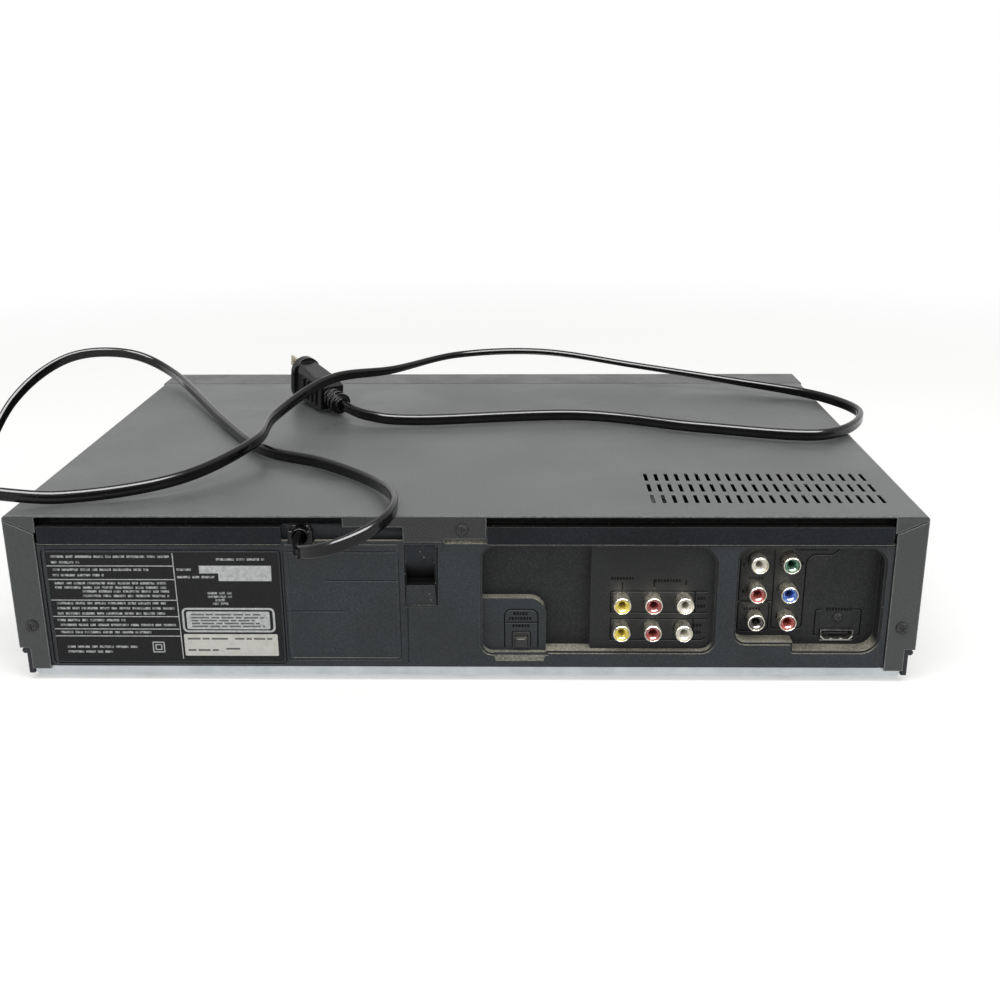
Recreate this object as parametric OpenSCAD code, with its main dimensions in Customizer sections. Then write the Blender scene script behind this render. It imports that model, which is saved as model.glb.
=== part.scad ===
// Combined disc player and cassette recorder in one low steel case, with its mains cord laid on top.
// Millimetres. The front faces -Y, +X is on the right of someone facing the front, and Z = 0 is under the feet.

/* [Case] */
// Width over the steel cover
body_w = 430; // [424:1:520]
// Depth from the front panel to the cover's rear flanges
body_d = 306.8; // [306:0.2:370]
// Height of the case above its feet
body_h = 81.8; // [81.8:0.2:99]
// Height of the rubber feet
foot_h = 3.2; // [2.4:0.1:8]
// Sheet thickness of the cover and the bottom plate
sheet = 0.8; // [0.6:0.1:1]
// Outer radius of the cover's long bends
bend_r = 2; // [1.4:0.1:4]
// Length of the steel cover
cover_l = 269.3; // [262:0.1:272]
// Width of the cover's rear flanges
flange_w = 14; // [13.6:0.1:14.4]
// Gap left between pieces that seat on each other
seat = 0.3; // [0.2:0.05:0.5]

/* [Top vents] */
// Slots in one row
vent_count = 22; // [4:1:26]
// Rows of slots
vent_rows = 3; // [1:1:5]
// Distance between slots
vent_pitch = 5.21; // [4:0.01:6]
// Width of a slot
vent_w = 2; // [1.2:0.1:3]
// Length of a slot
vent_l = 12.8; // [6:0.1:16]
// Distance between rows
vent_row_pitch = 17.3; // [17:0.1:24]

/* [Rear panel] */
// Wall thickness of the moulded rear panel
panel_t = 2.2; // [1.6:0.1:2.6]
// How far the raised top band stands out of the panel
band_t = 0.9; // [0.5:0.1:1.2]
// Depth of the recess above the band
brow_d = 6; // [4:0.5:8]
// Depth of the jack plate and of the raised platform in the main pocket
plate_d = 4; // [3:0.1:5]
// Depth of the main pocket's floor
floor_d = 9; // [8:0.1:11]
// Depth of the component pocket
comp_d = 9; // [8:0.1:11]
// Width of the step round each pocket
rim_w = 1.1; // [0.6:0.1:1.1]
// Depth of that step
rim_d = 1; // [0.5:0.1:1.5]
// Depth of the scallop below the optical socket
scallop_d = 1.6; // [1:0.1:2]

/* [Jacks] */
// Outer radius of a phono jack's sleeve
jack_r = 4.1; // [3.9:0.05:4.2]
// Wall of the sleeve
jack_t = 0.5; // [0.3:0.05:0.7]
// How far the main jacks stand out beyond the cover's rear flanges
jack_out = 3.2; // [1:0.1:5]
// How far the component jacks stay inside the cover's rear flanges
jack_in = 1.5; // [0:0.1:3]

/* [Front] */
// Wall thickness of the front panel
front_t = 2.5; // [2:0.1:3]
// Radius of the front panel's top edge
front_r = 9.5; // [6:0.5:12]
// Radius of its upright corners
corner_r = 4; // [3:0.5:6]
// Height of the cassette mouth
mouth_h = 32; // [31:0.5:33]
// How far the buttons stand out
button_out = 1; // [0.4:0.1:1.5]
// Travel of the buttons
button_travel = 0.6; // [0.4:0.1:0.8]

/* [Cassette deck] */
// Width of a cassette
tape_w = 187; // [187:0.5:188]
// Depth of a cassette
tape_d = 103; // [102:0.5:104]
// Height of a cassette
tape_h = 25; // [24:0.5:25.5]
// Height of the deck plate's underside
deck_z = 22; // [21:0.5:23]
// Radius of the video drum
drum_r = 31; // [28:0.5:33]
// Lean of the video drum
drum_lean = 6; // [0:0.5:8]
// Travel of the cassette holder
holder_travel = 48; // [30:1:48]
// Radius of the flywheel
flywheel_r = 27; // [22:0.5:28]
// Turn of the tape guides round the drum
guide_turn = 70; // [40:1:72]
// Swing of the pinch arm
pinch_turn = 22; // [12:1:24]

/* [Disc loader] */
// Radius of a disc
disc_r = 60; // [40:1:60]
// Width of the disc tray's plate
tray_w = 140; // [138:1:141]
// Travel of the disc tray
tray_travel = 140; // [100:1:140]
// Teeth of the tray gear
tray_teeth = 20; // [16:1:22]
// Lift of the turntable
turntable_lift = 6; // [4:0.1:6]
// Travel of the pickup
pickup_travel = 34; // [20:1:35]

/* [Mains cord] */
// Width of the flat cord
cord_w = 6.6; // [6:0.1:6.6]
// Length of the plug's body
plug_l = 52; // [46:1:56]

/* [Hidden] */
$fn = 48;
eps = 0.01;

// overall places
hw = body_w / 2;
depth_total = button_out + body_d + jack_out;
front_y = -depth_total / 2 + button_out;
rear_y = front_y + body_d;
plate_z = foot_h;
top_z = foot_h + body_h;
cover_y = rear_y - cover_l;
cover_z = plate_z + 14.3;
hem_w = 2.4;
function zt(v) = top_z - v;

// moulded frame inside the cover
run = 0.05;
frame_hw = hw - max(sheet + 1.9, front_t + 0.2);
frame_t = 2.6;
frame_in = frame_hw - frame_t;
frame_y0 = front_y + 15;
frame_y1 = rear_y - 1.1;
floor_z = plate_z + sheet + seat;
floor_t = 2.2;
floor_top = floor_z + floor_t;
board_z = floor_top + 3.5;
board_t = 1.6;
board_top = board_z + board_t;

// rear panel
panel_hw = hw - flange_w - 0.7;
panel_z = plate_z + 4.6;
panel_y = rear_y - 0.6;
band_z0 = zt(14.4);
band_z1 = zt(5.4);
edge_y = rear_y - sheet - seat;
brow_y = rear_y - brow_d - 0.6;
notch_y = brow_y + 2;
notch_lip = band_z0 + 1.9;
bead_h = 0.35;
comp_x0 = -panel_hw + 3.3;
comp_x1 = comp_x0 + 40.2;
comp_x2 = comp_x1 + 27.5;
main_x0 = comp_x2 + 10.7;
main_x1 = main_x0 + 110;
plate_x1 = main_x0 + 58.4;
ledge_x0 = main_x0 + 79.6;
main_z0 = zt(69.2);
platform_z0 = zt(70.2);
platform_z1 = zt(43.1);
main_z1 = zt(15.5);
comp_za = zt(64.4);
comp_zb = zt(68.9);
comp_z1 = zt(16.5);
latch_x = main_x1 + 29;
notch_x0 = -11.3;
notch_x1 = 85;
frame_x0 = 30.7;
frame_x1 = 83.6;
tongue_x = 8.5;
tongue_w = 39;
tongue_z = zt(13.1);
flange_screw = [hw - 7.4, zt(56)];
tongue_screw = [0.4, zt(6.8)];
screw_r = 1.5;
head_r = 3;
head_h = 1.5;

// jacks: [x, z] of each axis
main_jacks = [for (z = [zt(44), zt(58.2)]) for (x = [14.2, 29, 43.8]) [main_x0 + x, z]];
comp_jacks = [for (x = [43, 58]) for (z = [zt(25.3), zt(40.3), zt(54.6)]) [comp_x0 + x, z]];
front_jacks = [for (i = [0:2]) [-hw + 20 + 14 * i, plate_z + 20.8]];
main_plate_y = panel_y - plate_d;
comp_plate_y = panel_y - comp_d;
main_tip_y = rear_y + jack_out;
comp_tip_y = rear_y - jack_in;
main_block_y = main_plate_y - panel_t - seat;
comp_block_y = comp_plate_y - panel_t - seat;
block_l = 10;
neck_step = 0.2;
liner_r = jack_r - jack_t - run;
hdmi = [comp_x0 + 17.7, zt(63.6)];
hdmi_screw = [comp_x0 + 17.5, zt(54.8)];
optical = [main_x1 - 18.6, main_z0 + 4.3];
optical_out = 0.8;
optical_hw = 4.2;
optical_z0 = main_z0 + 0.2;
optical_z1 = optical[1] + 4.2;

// front panel
fascia_y = cover_y - seat;
inner_y = front_y + front_t;
vcr_x = -hw + 113;
dvd_x = hw - 111;
mouth_w = tape_w + 10;
mouth_z = deck_z + 18;
mouth_x0 = vcr_x - mouth_w / 2;
mouth_x1 = vcr_x + mouth_w / 2;
slot_w = tray_w + 8;
slot_h = 16;
slot_z = 55.5;
window_x0 = dvd_x - 70;
window_x1 = dvd_x + 70;
window_z0 = 26;
window_z1 = 46;
switch_gap = 0.1;
hollow_r = 9;
hollow_d = 0.3;
front_board_y = inner_y + 7;
// [x, z, width, height] of each button's cap
power_key = [(mouth_x1 + dvd_x - slot_w / 2) / 2, 56, 12, 12];
open_key = [dvd_x + slot_w / 2 + 15, 63, 16, 9];
deck_key = [power_key[0], 24, 14, 8];
play_key = [dvd_x + 40, 15.5, 20, 7];
stop_key = [dvd_x + 14, 15.5, 20, 7];
tape_keys = [for (i = [0:4]) [vcr_x - 44 + 27 * i, 24, 20, 9]];
all_keys = concat([power_key, open_key, deck_key, play_key, stop_key], tape_keys);

// cassette door
door_axis = [inner_y + 3.5, mouth_z + mouth_h + 3.5];
door_t = 2;
door_y = front_y + 0.6;
pin_r = 1.5;

// cassette deck
deck_t = 1.2;
deck_top = deck_z + deck_t;
deck_hw = tape_w / 2 + 5.5;
deck_y0 = front_y + 42.5;
deck_y1 = deck_y0 + 230;
holder_hw = tape_w / 2 + 1.5;
holder_t = 0.8;
holder_y0 = front_y + 41.5;
holder_y1 = holder_y0 + tape_d + 1;
holder_z0 = mouth_z + 2;
holder_z1 = holder_z0 + 2 * holder_t + tape_h + 2;
holder_pin_r = 2;
holder_pins = [[holder_y0 + 18, holder_z0 + 12], [holder_y1 - 16, holder_z0 + 12]];
wall_t = 1.2;
wall_in = holder_hw + holder_t + 1.2;
reel_y = holder_y1 - 8;
reel_dx = 45.5;
drum_y = deck_y0 + 194;
drum_base = deck_top + 6.8;
capstan_at = [54, drum_y - 32];
capstan_r = 1.5;
roller_r = 5.5;
pinch_pivot = [78, drum_y - 18];
arm_z = deck_top + 3.5;
pinch_press = capstan_at + [0, roller_r + capstan_r + 0.1];
pinch_arm_l = norm(pinch_press - pinch_pivot);
pinch_rest_a = atan2(pinch_press[1] - pinch_pivot[1], pinch_press[0] - pinch_pivot[0]) - pinch_turn;
pinch_rest = pinch_pivot + pinch_arm_l * [cos(pinch_rest_a), sin(pinch_rest_a)];
guide_r = drum_r + 9;
guide_a = -60;
cam_teeth = 32;
cam_at = [-70, drum_y + 14];
loading_teeth = 12;
loading_at = cam_at - [0, (cam_teeth + loading_teeth) / 2];
cam_z = deck_top + 1;

// disc loader
loader_z = 38;
loader_hw = tray_w / 2 + 8.5;
loader_t = 2.5;
loader_y0 = front_y + 18.5;
loader_y1 = front_y + 214.5;
tray_z = slot_z + 3.5;
tray_t = 7;
tray_top = tray_z + tray_t;
tray_y1 = front_y + 178;
disc_y = front_y + 76.5;
well_z = tray_top - 3;
turntable_z = well_z + 0.5 - turntable_lift;
slot_hw = 19;
rack_x = -56;
gear_y = loader_y0 + 12;
gear_x = rack_x + tray_teeth / 2;
rack_h = tray_z - slot_z - seat;
gear_z = tray_z - seat - 3.4;
pulley_r = 9;
pulley_z = gear_z - 8;
motor_pulley_r = 3;
motor_x = gear_x + 46;
bridge_z = tray_top + 4;
hinge_y = disc_y + 128;
hinge_z = 47;
traverse_hw = 40;
traverse_t = 2.5;
traverse_y0 = disc_y - 28;
rod_r = 1.5;
rod_x = 25;
rod_z = hinge_z + 3;
pickup_y0 = disc_y + 24;
pickup_l = 22;
rod_y0 = disc_y + 18;
rod_y1 = pickup_y0 + pickup_l + pickup_travel + 4;

// feet, and the posts of the moulded frame: [x, y, height]
feet_at = [for (x = [-hw + 35, hw - 35]) for (y = [front_y + 34, rear_y - 36]) [x, y]];
deck_posts = [for (x = [-90, 90]) for (y = [deck_y0 + 8, deck_y0 + 196]) [vcr_x + x, y, deck_z]];
loader_posts = [for (x = [-72, 72]) for (y = [loader_y0 + 16, loader_y0 + 176]) [dvd_x + x, y, loader_z]];
main_board_x = [-hw + 10, 25];
main_board_y = [rear_y - 60, rear_y - 15.5];
power_board_x = [40, hw - 10];
power_board_y = [loader_y1 + 5, rear_y - 12];
disc_board_x = [dvd_x - 62, dvd_x + 62];
disc_board_y = [loader_y0 + 70, loader_y0 + 164];
function corners(bx, by, inset) = [for (x = [bx[0] + inset, bx[1] - inset])
    for (y = [by[0] + inset, by[1] - inset]) [x, y, board_z]];
board_posts = concat(corners(main_board_x, main_board_y, 5), corners(power_board_x, power_board_y, 5),
    corners(disc_board_x, disc_board_y, 5));
posts = concat(deck_posts, loader_posts, board_posts);

// mains cord: its route from the bush over the top, over the left edge and back, to the plug
cord_r = cord_w / 2;
bush_at = [76, top_z - 10.2];
bush_gap = 0.2;
bush_y0 = rear_y - 17;
bush_y1 = rear_y + 0.8;
plug_back = [80.5, -28, 92.4];
plug_yaw = -54;
plug_pitch = 8.5;
cord_sides = 10;
cord_steps = 2;
cord_route = [
    [76, 136, 74.8], [76, 150, 74.8], [75.7, 164, 75.1], [69.6, 180, 77.6], [53.5, 187.6, 83.4], [38.2, 181, 89],
    [31.4, 164.5, 91.5], [33.5, 140, 91], [48, 110, 89], [76, 80, 88.7], [112, 55, 88.7], [144, 2, 88.7],
    [206, -112, 93], [244, -132, 103], [286, -132, 99], [318, -112, 74], [333, -74, 32], [337, -28, 7.4],
    [335, 22, 7.4], [325, 74, 32], [294, 120, 68], [246, 137, 91], [192, 136, 88.7], [142, 114, 91],
    [114, 66, 96], [112, 16, 98], [88, -32, 107.5], [54, -70, 105], [14, -112, 106], [-42, -120, 106],
    [-104, -106, 99.5], [-166, -93, 92], [-214, -66, 88.6], [-228, -19, 88.6], [-195, 25, 88.6], [-130, 9, 88.6],
    [-60, -19, 88.6], [32, -7, 88.8], [63, -12, 90.2], [80.8, -28.4, 92.4]];

// ---- shapes that repeat ----

// an XZ outline pushed along Y
module along_y(y0, l) translate([0, y0 + l, 0]) rotate([90, 0, 0]) linear_extrude(l) children();

// a YZ outline pushed along X
module along_x(x0, l) translate([x0, 0, 0]) rotate([90, 0, 90]) linear_extrude(l) children();

module span(x0, x1, y0, y1, z0, z1) translate([x0, y0, z0]) cube([x1 - x0, y1 - y0, z1 - z0]);

module rod_x(x0, l, y, z, r) translate([x0, y, z]) rotate([0, 90, 0]) cylinder(r = r, h = l);

module rod_y(y0, l, x, z, r) translate([x, y0, z]) rotate([-90, 0, 0]) cylinder(r = r, h = l);

module rod_z(z0, l, x, y, r) translate([x, y, z0]) cylinder(r = r, h = l);

module both() {
    children();
    mirror([1, 0, 0]) children();
}

// rectangle with a radius for each corner, from the lower left round to the upper left
module tile(x0, y0, x1, y1, r = [0, 0, 0, 0]) {
    at = [[x0, y0], [x1, y0], [x1, y1], [x0, y1]];
    way = [[1, 1], [-1, 1], [-1, -1], [1, -1]];
    difference() {
        translate([x0, y0]) square([x1 - x0, y1 - y0]);
        for (i = [0:3]) if (r[i] > 0) difference() {
            translate([min(at[i][0], at[i][0] + way[i][0] * r[i]), min(at[i][1], at[i][1] + way[i][1] * r[i])])
                square(r[i]);
            translate(at[i] + r[i] * way[i]) circle(r[i]);
        }
    }
}

// straight slot with round ends between two points
module slot(a, b, r) {
    l = norm(b - a);
    turn = atan2(b[1] - a[1], b[0] - a[0]);
    translate(a) rotate(turn) translate([0, -r]) square([l, 2 * r]);
    for (p = [a, b]) translate(p) circle(r);
}

module ring(r_out, r_in, h) difference() {
    cylinder(r = r_out, h = h);
    translate([0, 0, -1]) cylinder(r = r_in, h = h + 2);
}

// involute tooth, as half its width angle at a radius
function inv(a) = tan(a) * 180 / PI - a;
function half_angle(n, r, slack) = let (rb = n / 2 * cos(20))
    90 / n - slack * 90 / PI / (n / 2) + inv(20) - (r > rb ? inv(acos(rb / r)) : 0);

// spur gear outline of module 1 with a tooth on the +X axis
module gear_outline(n, slack = 0.16) {
    rp = n / 2;
    radii = [rp - 1.15, rp - 0.55, rp, rp + 0.45, rp + 0.85];
    polygon([for (i = [0:n - 1]) for (s = [-1, 1]) for (k = [0:4])
        let (r = radii[s < 0 ? k : 4 - k], a = 360 / n * i + s * half_angle(n, r, slack)) r * [cos(a), sin(a)]]);
}

// ---- case ----

module cover_section() difference() {
    tile(-hw, cover_z, hw, top_z, [0, 0, bend_r, bend_r]);
    tile(-hw + sheet, cover_z - 1, hw - sheet, top_z - sheet, [0, 0, bend_r - sheet, bend_r - sheet]);
}

// folded rear flanges: two upright ones, the mitred corners and the centre tongue
module cover_flanges() intersection() {
    tile(-hw, 0, hw, top_z, [0, 0, bend_r, bend_r]);
    union() {
        both() {
            polygon([[hw - flange_w, zt(9)], [hw, zt(2.6)], [hw, cover_z], [hw - 5, cover_z],
                [hw - 5, plate_z + 3.2], [hw - flange_w, plate_z + 3.2]]);
            polygon([[hw - flange_w - 1, top_z], [hw, top_z], [hw, zt(2)], [hw - flange_w, zt(8.4)],
                [hw - flange_w - 1, zt(8.4)]]);
        }
        // the tongue is longer over its left half
        translate([tongue_x - tongue_w / 2, zt(11.4)]) square([tongue_w, 11.4]);
        translate([tongue_x, tongue_z]) square([tongue_w / 2, 11.4]);
        translate([tongue_x + tongue_w / 2 - eps, zt(5.5)]) square([28, 5.5]);
    }
}

module top_cover() color("#4a4c4e") difference() {
    union() {
        along_y(cover_y, cover_l) cover_section();
        along_y(rear_y - sheet, sheet) cover_flanges();
        both() span(hw - hem_w, hw - sheet / 2, cover_y, rear_y - 4, cover_z, cover_z + sheet);
    }
    for (i = [0:vent_count - 1]) for (j = [0:vent_rows - 1])
        translate([-hw + 15.3 + vent_pitch * i, rear_y - 25.5 - vent_row_pitch * j, top_z - sheet - 1])
            linear_extrude(sheet + 2) tile(-vent_w / 2, -vent_l / 2, vent_w / 2, vent_l / 2,
                [0.5, 0.5, 0.5, 0.5], $fn = 16);
    both() rod_y(rear_y - 2, 4, flange_screw[0], flange_screw[1], screw_r + run);
    rod_y(rear_y - 2, 4, tongue_screw[0], tongue_screw[1], screw_r + run);
}

press_d = 0.3;
plate_hw = frame_in - 0.7;
plate_y0 = frame_y0 - 0.2;
lip_top = panel_z - seat;

module bottom_plate() color("#c4c8ca") difference() {
    union() {
        span(-plate_hw, plate_hw, plate_y0, rear_y - 1.1, plate_z, plate_z + sheet);
        along_y(rear_y - 1.1 - sheet, sheet) tile(-plate_hw, plate_z, plate_hw, lip_top, [2.5, 2.5, 0, 0]);
    }
    both() translate([plate_hw - 2.5, rear_y - 3, plate_z - 1]) difference() {
        cube([4, 4, 3.5]);
        translate([0, -1, 3.5]) rotate([-90, 0, 0]) cylinder(r = 2.5, h = 6);
    }
    for (p = feet_at) rod_z(plate_z - 1, 4, p[0], p[1], 2.6);
    for (p = bottom_screws) rod_z(plate_z - 1, 4, p[0], p[1], screw_r + run);
    for (i = [0:13]) for (j = [0:2])
        translate([dvd_x - 65 + 10 * i, front_y + 120 + 34 * j, plate_z - 1])
            linear_extrude(sheet + 2) slot([0, -12], [0, 12], 1.5);
    // stiffening grooves pressed into the underside
    for (x = [-120, -70, -20]) translate([x, 0, plate_z - 1]) linear_extrude(1 + press_d)
        slot([0, front_y + 60], [0, rear_y - 50], 4);
    for (y = [front_y + 70, rear_y - 50]) translate([0, y, plate_z - 1]) linear_extrude(1 + press_d)
        slot([dvd_x - 50, 0], [dvd_x + 50, 0], 4);
}

bottom_screws = [for (x = [-hw + 60, 0, hw - 60]) for (y = [front_y + 24, rear_y - 8]) [x, y]];

module feet() color("#1b1b1b") for (p = feet_at) translate(p) {
    rotate_extrude() polygon([[0, 0], [8, 0], [9, 1], [9.6, foot_h], [0, foot_h]]);
    translate([0, 0, foot_h - eps]) cylinder(r = 2.5, h = 0.7);
}

module main_frame() color("#232427") difference() {
    union() {
        difference() {
            span(-frame_hw, frame_hw, frame_y0, rear_y - 2.4, floor_z, floor_top);
            floor_windows();
        }
        both() {
            span(frame_in, frame_hw, frame_y0, frame_y1, plate_z + 0.4, plate_z + 60);
            rod_y(cover_y + 0.6, frame_y1 - cover_y - 0.6, frame_hw + 0.7, plate_z + 12.4, 1.5);
            span(flange_screw[0] - 4, frame_in + eps, frame_y1 - 12, frame_y1, flange_screw[1] - 4,
                flange_screw[1] + 4);
        }
        span(-frame_in - eps, frame_in + eps, frame_y0, frame_y0 + 2, floor_z, 34);
        for (p = posts) rod_z(floor_top - eps, p[2] - floor_top + eps, p[0], p[1], 3.5);
        for (p = bottom_screws) rod_z(floor_z, 6, p[0], p[1], 3.5);
        for (x = [-hw + 14, -70, -14, 40, 104, hw - 14]) rod_y(front_board_y + board_t,
            frame_y0 - front_board_y - board_t + eps, x, 31, 3);
        for (y = [frame_y0 + 60, frame_y0 + 130, frame_y0 + 200])
            both() span(frame_in - 6, frame_in + eps, y, y + 2, floor_top - eps, 34);
    }
    both() rod_y(frame_y1 - 10, 12, flange_screw[0], flange_screw[1], screw_r + run);
    for (p = bottom_screws) rod_z(floor_z - 1, 6, p[0], p[1], screw_r + run);
    span(-1, 24, frame_y0 - 1, frame_y0 + 3, 13, 17);
}

window_s = 36;
window_pitch = 42;
module floor_windows() {
    nx = floor((2 * frame_in - 12) / window_pitch);
    ny = floor((rear_y - frame_y0 - 16) / window_pitch);
    for (i = [0:nx - 1]) for (j = [0:ny - 1]) {
        c = [(i - (nx - 1) / 2) * window_pitch, frame_y0 + 28 + j * window_pitch];
        near = min([for (p = concat(posts, bottom_screws)) norm([p[0], p[1]] - c)]);
        if (near > window_s * 0.71 + 5)
            translate([0, 0, floor_z - 1]) linear_extrude(floor_t + 2)
                tile(c[0] - window_s / 2, c[1] - window_s / 2, c[0] + window_s / 2, c[1] + window_s / 2,
                    [3, 3, 3, 3]);
    }
}

// ---- rear panel ----

module main_outline(g) {
    tile(main_x0 - g, main_z0 - g, main_x1 + g, main_z1 + g, [5.5, 5, 6.6, 10] + [g, g, g, g]);
    tile(ledge_x0 - g, platform_z0 - g, main_x1 + g, platform_z1, [0, 5 + g, 0, 0]);
}

module comp_outline(g) {
    tile(comp_x0 - g, comp_zb - g, comp_x1 + g, comp_z1 + g, [8, 1, 0, 8] + [g, g, 0, g]);
    tile(comp_x1 - 3, comp_za - g, comp_x2 + g, comp_z1 + g, [0, 5, 5, 0] + [0, g, g, 0]);
}

// floor of the main pocket that is deeper than the jack plate and the platform
module deep_outline() intersection() {
    main_outline(0);
    difference() {
        tile(plate_x1, main_z0, main_x1, main_z1);
        tile(ledge_x0, main_z0 - 1, main_x1 + 1, platform_z1, [0, 0, 0, 8]);
    }
}

// shallow scallop below the platform, with a sloping floor and slanted ends
module scallop() {
    w = 12.5;
    translate([main_x1 - 17.8, panel_y, platform_z0]) intersection() {
        along_x(-w, 2 * w) polygon([[-scallop_d, 1], [-scallop_d, -1.4], [0, -3.9], [0.5, -4.8], [2, -4.8], [2, 1]]);
        along_y(-scallop_d - 1, 5) polygon([[-w, 2], [-w, -1.2], [-w + 1.5, -4.8], [w - 1.5, -4.8], [w, -1.2], [w, 2]]);
    }
}

module latch_outline(g) tile(latch_x - 7.5 - g, zt(45.3) - g, latch_x + 7.5 + g, zt(14.4), [0, 0, 0, 0]);

module panel_shell() {
    along_y(panel_y - panel_t, panel_t) tile(-panel_hw, panel_z, panel_hw, band_z0, [3, 3, 0, 0]);
    along_y(edge_y - panel_t, panel_t) tile(-frame_in + seat, panel_z, frame_in - seat, band_z0, [3, 3, 0, 0]);
    // raised band left and right of the cord's notch
    along_y(panel_y - panel_t, panel_t + band_t) {
        tile(-panel_hw + 0.9, band_z0 - eps, notch_x0, band_z1);
        tile(notch_x1, band_z0 - eps, panel_hw - 0.9, band_z1);
    }
    // bead along the band's lower edge
    for (x = [[-panel_hw + 0.9, notch_x0], [notch_x1, panel_hw - 0.9]])
        span(x[0], x[1], panel_y - eps, panel_y + band_t + bead_h, band_z0 - bead_h, band_z0 + bead_h);
    // brow: a shelf behind the band's top and the set-back wall above it
    for (x = [[-panel_hw + 0.9, notch_x0], [notch_x1, panel_hw - 0.9]])
        span(x[0], x[1], brow_y - panel_t, panel_y, band_z1 - panel_t, band_z1);
    along_y(brow_y - panel_t, panel_t) tile(-panel_hw, band_z1 - panel_t, panel_hw, top_z - sheet - seat);
    along_y(brow_y - panel_t, notch_y - brow_y + panel_t)
        tile(notch_x0 - panel_t, band_z0 - panel_t, notch_x1 + panel_t, band_z1);
    span(notch_x0 - panel_t, notch_x1 + panel_t, brow_y - panel_t, panel_y, band_z0 - panel_t, band_z0);
    for (x = [notch_x0 - panel_t, notch_x1])
        span(x, x + panel_t, brow_y - panel_t, panel_y, band_z0 - panel_t, band_z1);
    // lips of different heights along the notch: under the tongue's long half and left of it
    span(tongue_x, tongue_x + tongue_w / 2, panel_y - panel_t, panel_y, band_z0 - eps, tongue_z - 0.5);
    for (x = [[tongue_x + tongue_w / 2 - eps, bush_at[0] - 6.5], [bush_at[0] + 6, notch_x1 + eps]])
        span(x[0], x[1], panel_y - panel_t, panel_y, band_z0 - eps, notch_lip);
    // sloped lip under its short half
    along_x(notch_x0, tongue_x - notch_x0 + eps) polygon([[panel_y - 4, band_z0 - eps], [panel_y, band_z0 - eps],
        [panel_y, band_z0 + 0.4], [panel_y - 2.5, band_z0 + 2.7], [panel_y - 4, band_z0 + 2.7]]);
    // screw block behind the tongue
    span(tongue_screw[0] - 8, tongue_screw[0] + 8, brow_y, edge_y, zt(11.1), top_z - sheet - seat);
}

module rear_panel() color("#2e3034") difference() {
    union() {
        panel_shell();
        along_y(panel_y - plate_d - panel_t, plate_d + panel_t) main_outline(panel_t);
        along_y(panel_y - floor_d - panel_t, floor_d) intersection() {
            main_outline(panel_t);
            tile(plate_x1 - panel_t, 0, main_x1 + panel_t, top_z);
        }
        along_y(panel_y - comp_d - panel_t, comp_d + panel_t) comp_outline(panel_t);
        along_y(panel_y - 6 - panel_t, 6) latch_outline(panel_t);
        // raised lines: the bare frame beside the latch window and the ribs near both ends
        along_y(panel_y - eps, 0.35) difference() {
            tile(frame_x0, zt(73.5), frame_x1, band_z0);
            tile(frame_x0 + 1, zt(72.5), frame_x1 - 1, band_z0 - 1);
        }
        both() along_y(panel_y - eps, 0.4) tile(panel_hw - 3.4, zt(76), panel_hw - 2.6, band_z0);
    }
    // pockets with their stepped rims
    along_y(panel_y - rim_d, rim_d + 2) main_outline(rim_w);
    along_y(panel_y - plate_d, plate_d + 1) main_outline(0);
    along_y(panel_y - floor_d, floor_d + 1) deep_outline();
    along_y(panel_y - rim_d, rim_d + 2) comp_outline(rim_w);
    along_y(panel_y - comp_d, comp_d + 1) comp_outline(0);
    scallop();
    // the platform is hollow behind
    along_y(panel_y - floor_d - panel_t - 1, floor_d - plate_d + 1)
        tile(ledge_x0 + panel_t, main_z0 + panel_t + 1, main_x1 - panel_t, platform_z1 - panel_t);
    // latch window: shallow field, ramp and hole
    along_y(panel_y - 0.8, 2) latch_outline(0);
    along_x(latch_x - 6.6, 13.2) polygon([[panel_y + 1, zt(17.8)], [panel_y - 0.7, zt(17.8)],
        [panel_y - 1.6, zt(25)], [panel_y - 6, zt(33.6)], [panel_y - 6, zt(35.2)], [panel_y + 1, zt(35.2)]]);
    // holes for the jacks, the sockets and the screws
    for (p = main_jacks) rod_y(main_plate_y - panel_t - 1, panel_t + 2, p[0], p[1], jack_r + seat);
    for (p = comp_jacks) rod_y(comp_plate_y - panel_t - 1, panel_t + 2, p[0], p[1], jack_r + seat);
    along_y(comp_plate_y - panel_t - 1, panel_t + 2)
        multi_way_outline(0.4 + seat);
    rod_y(comp_plate_y - panel_t - 1, panel_t + 2, hdmi_screw[0], hdmi_screw[1], 1.3);
    along_y(main_plate_y - floor_d, floor_d + 1)
        tile(optical[0] - optical_hw - seat, main_z0, optical[0] + optical_hw + seat, optical_z1 + seat);
    rod_y(brow_y - 1, 8, tongue_screw[0], tongue_screw[1], screw_r + run);
    // room for the frame's screw blocks
    both() span(flange_screw[0] - 4.3, hw, edge_y - 6, edge_y + 0.3, flange_screw[1] - 4.3, flange_screw[1] + 4.3);
    // notch that the cord's bush sits in
    span(bush_at[0] - 4.6, bush_at[0] + 4.6, brow_y - 4, notch_y + 1, band_z0, bush_at[1] + 4.6);
}

module pan_screw(l) {
    difference() {
        rotate_extrude() polygon([[0, 0], [head_r, 0], [head_r, head_h * 0.45], [head_r * 0.7, head_h * 0.9],
            [0, head_h]]);
        for (a = [0, 90]) rotate(a) translate([-1.8, -0.35, head_h - 0.8]) cube([3.6, 0.7, 2]);
    }
    translate([0, 0, -l]) cylinder(r = screw_r, h = l + eps);
}

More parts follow.
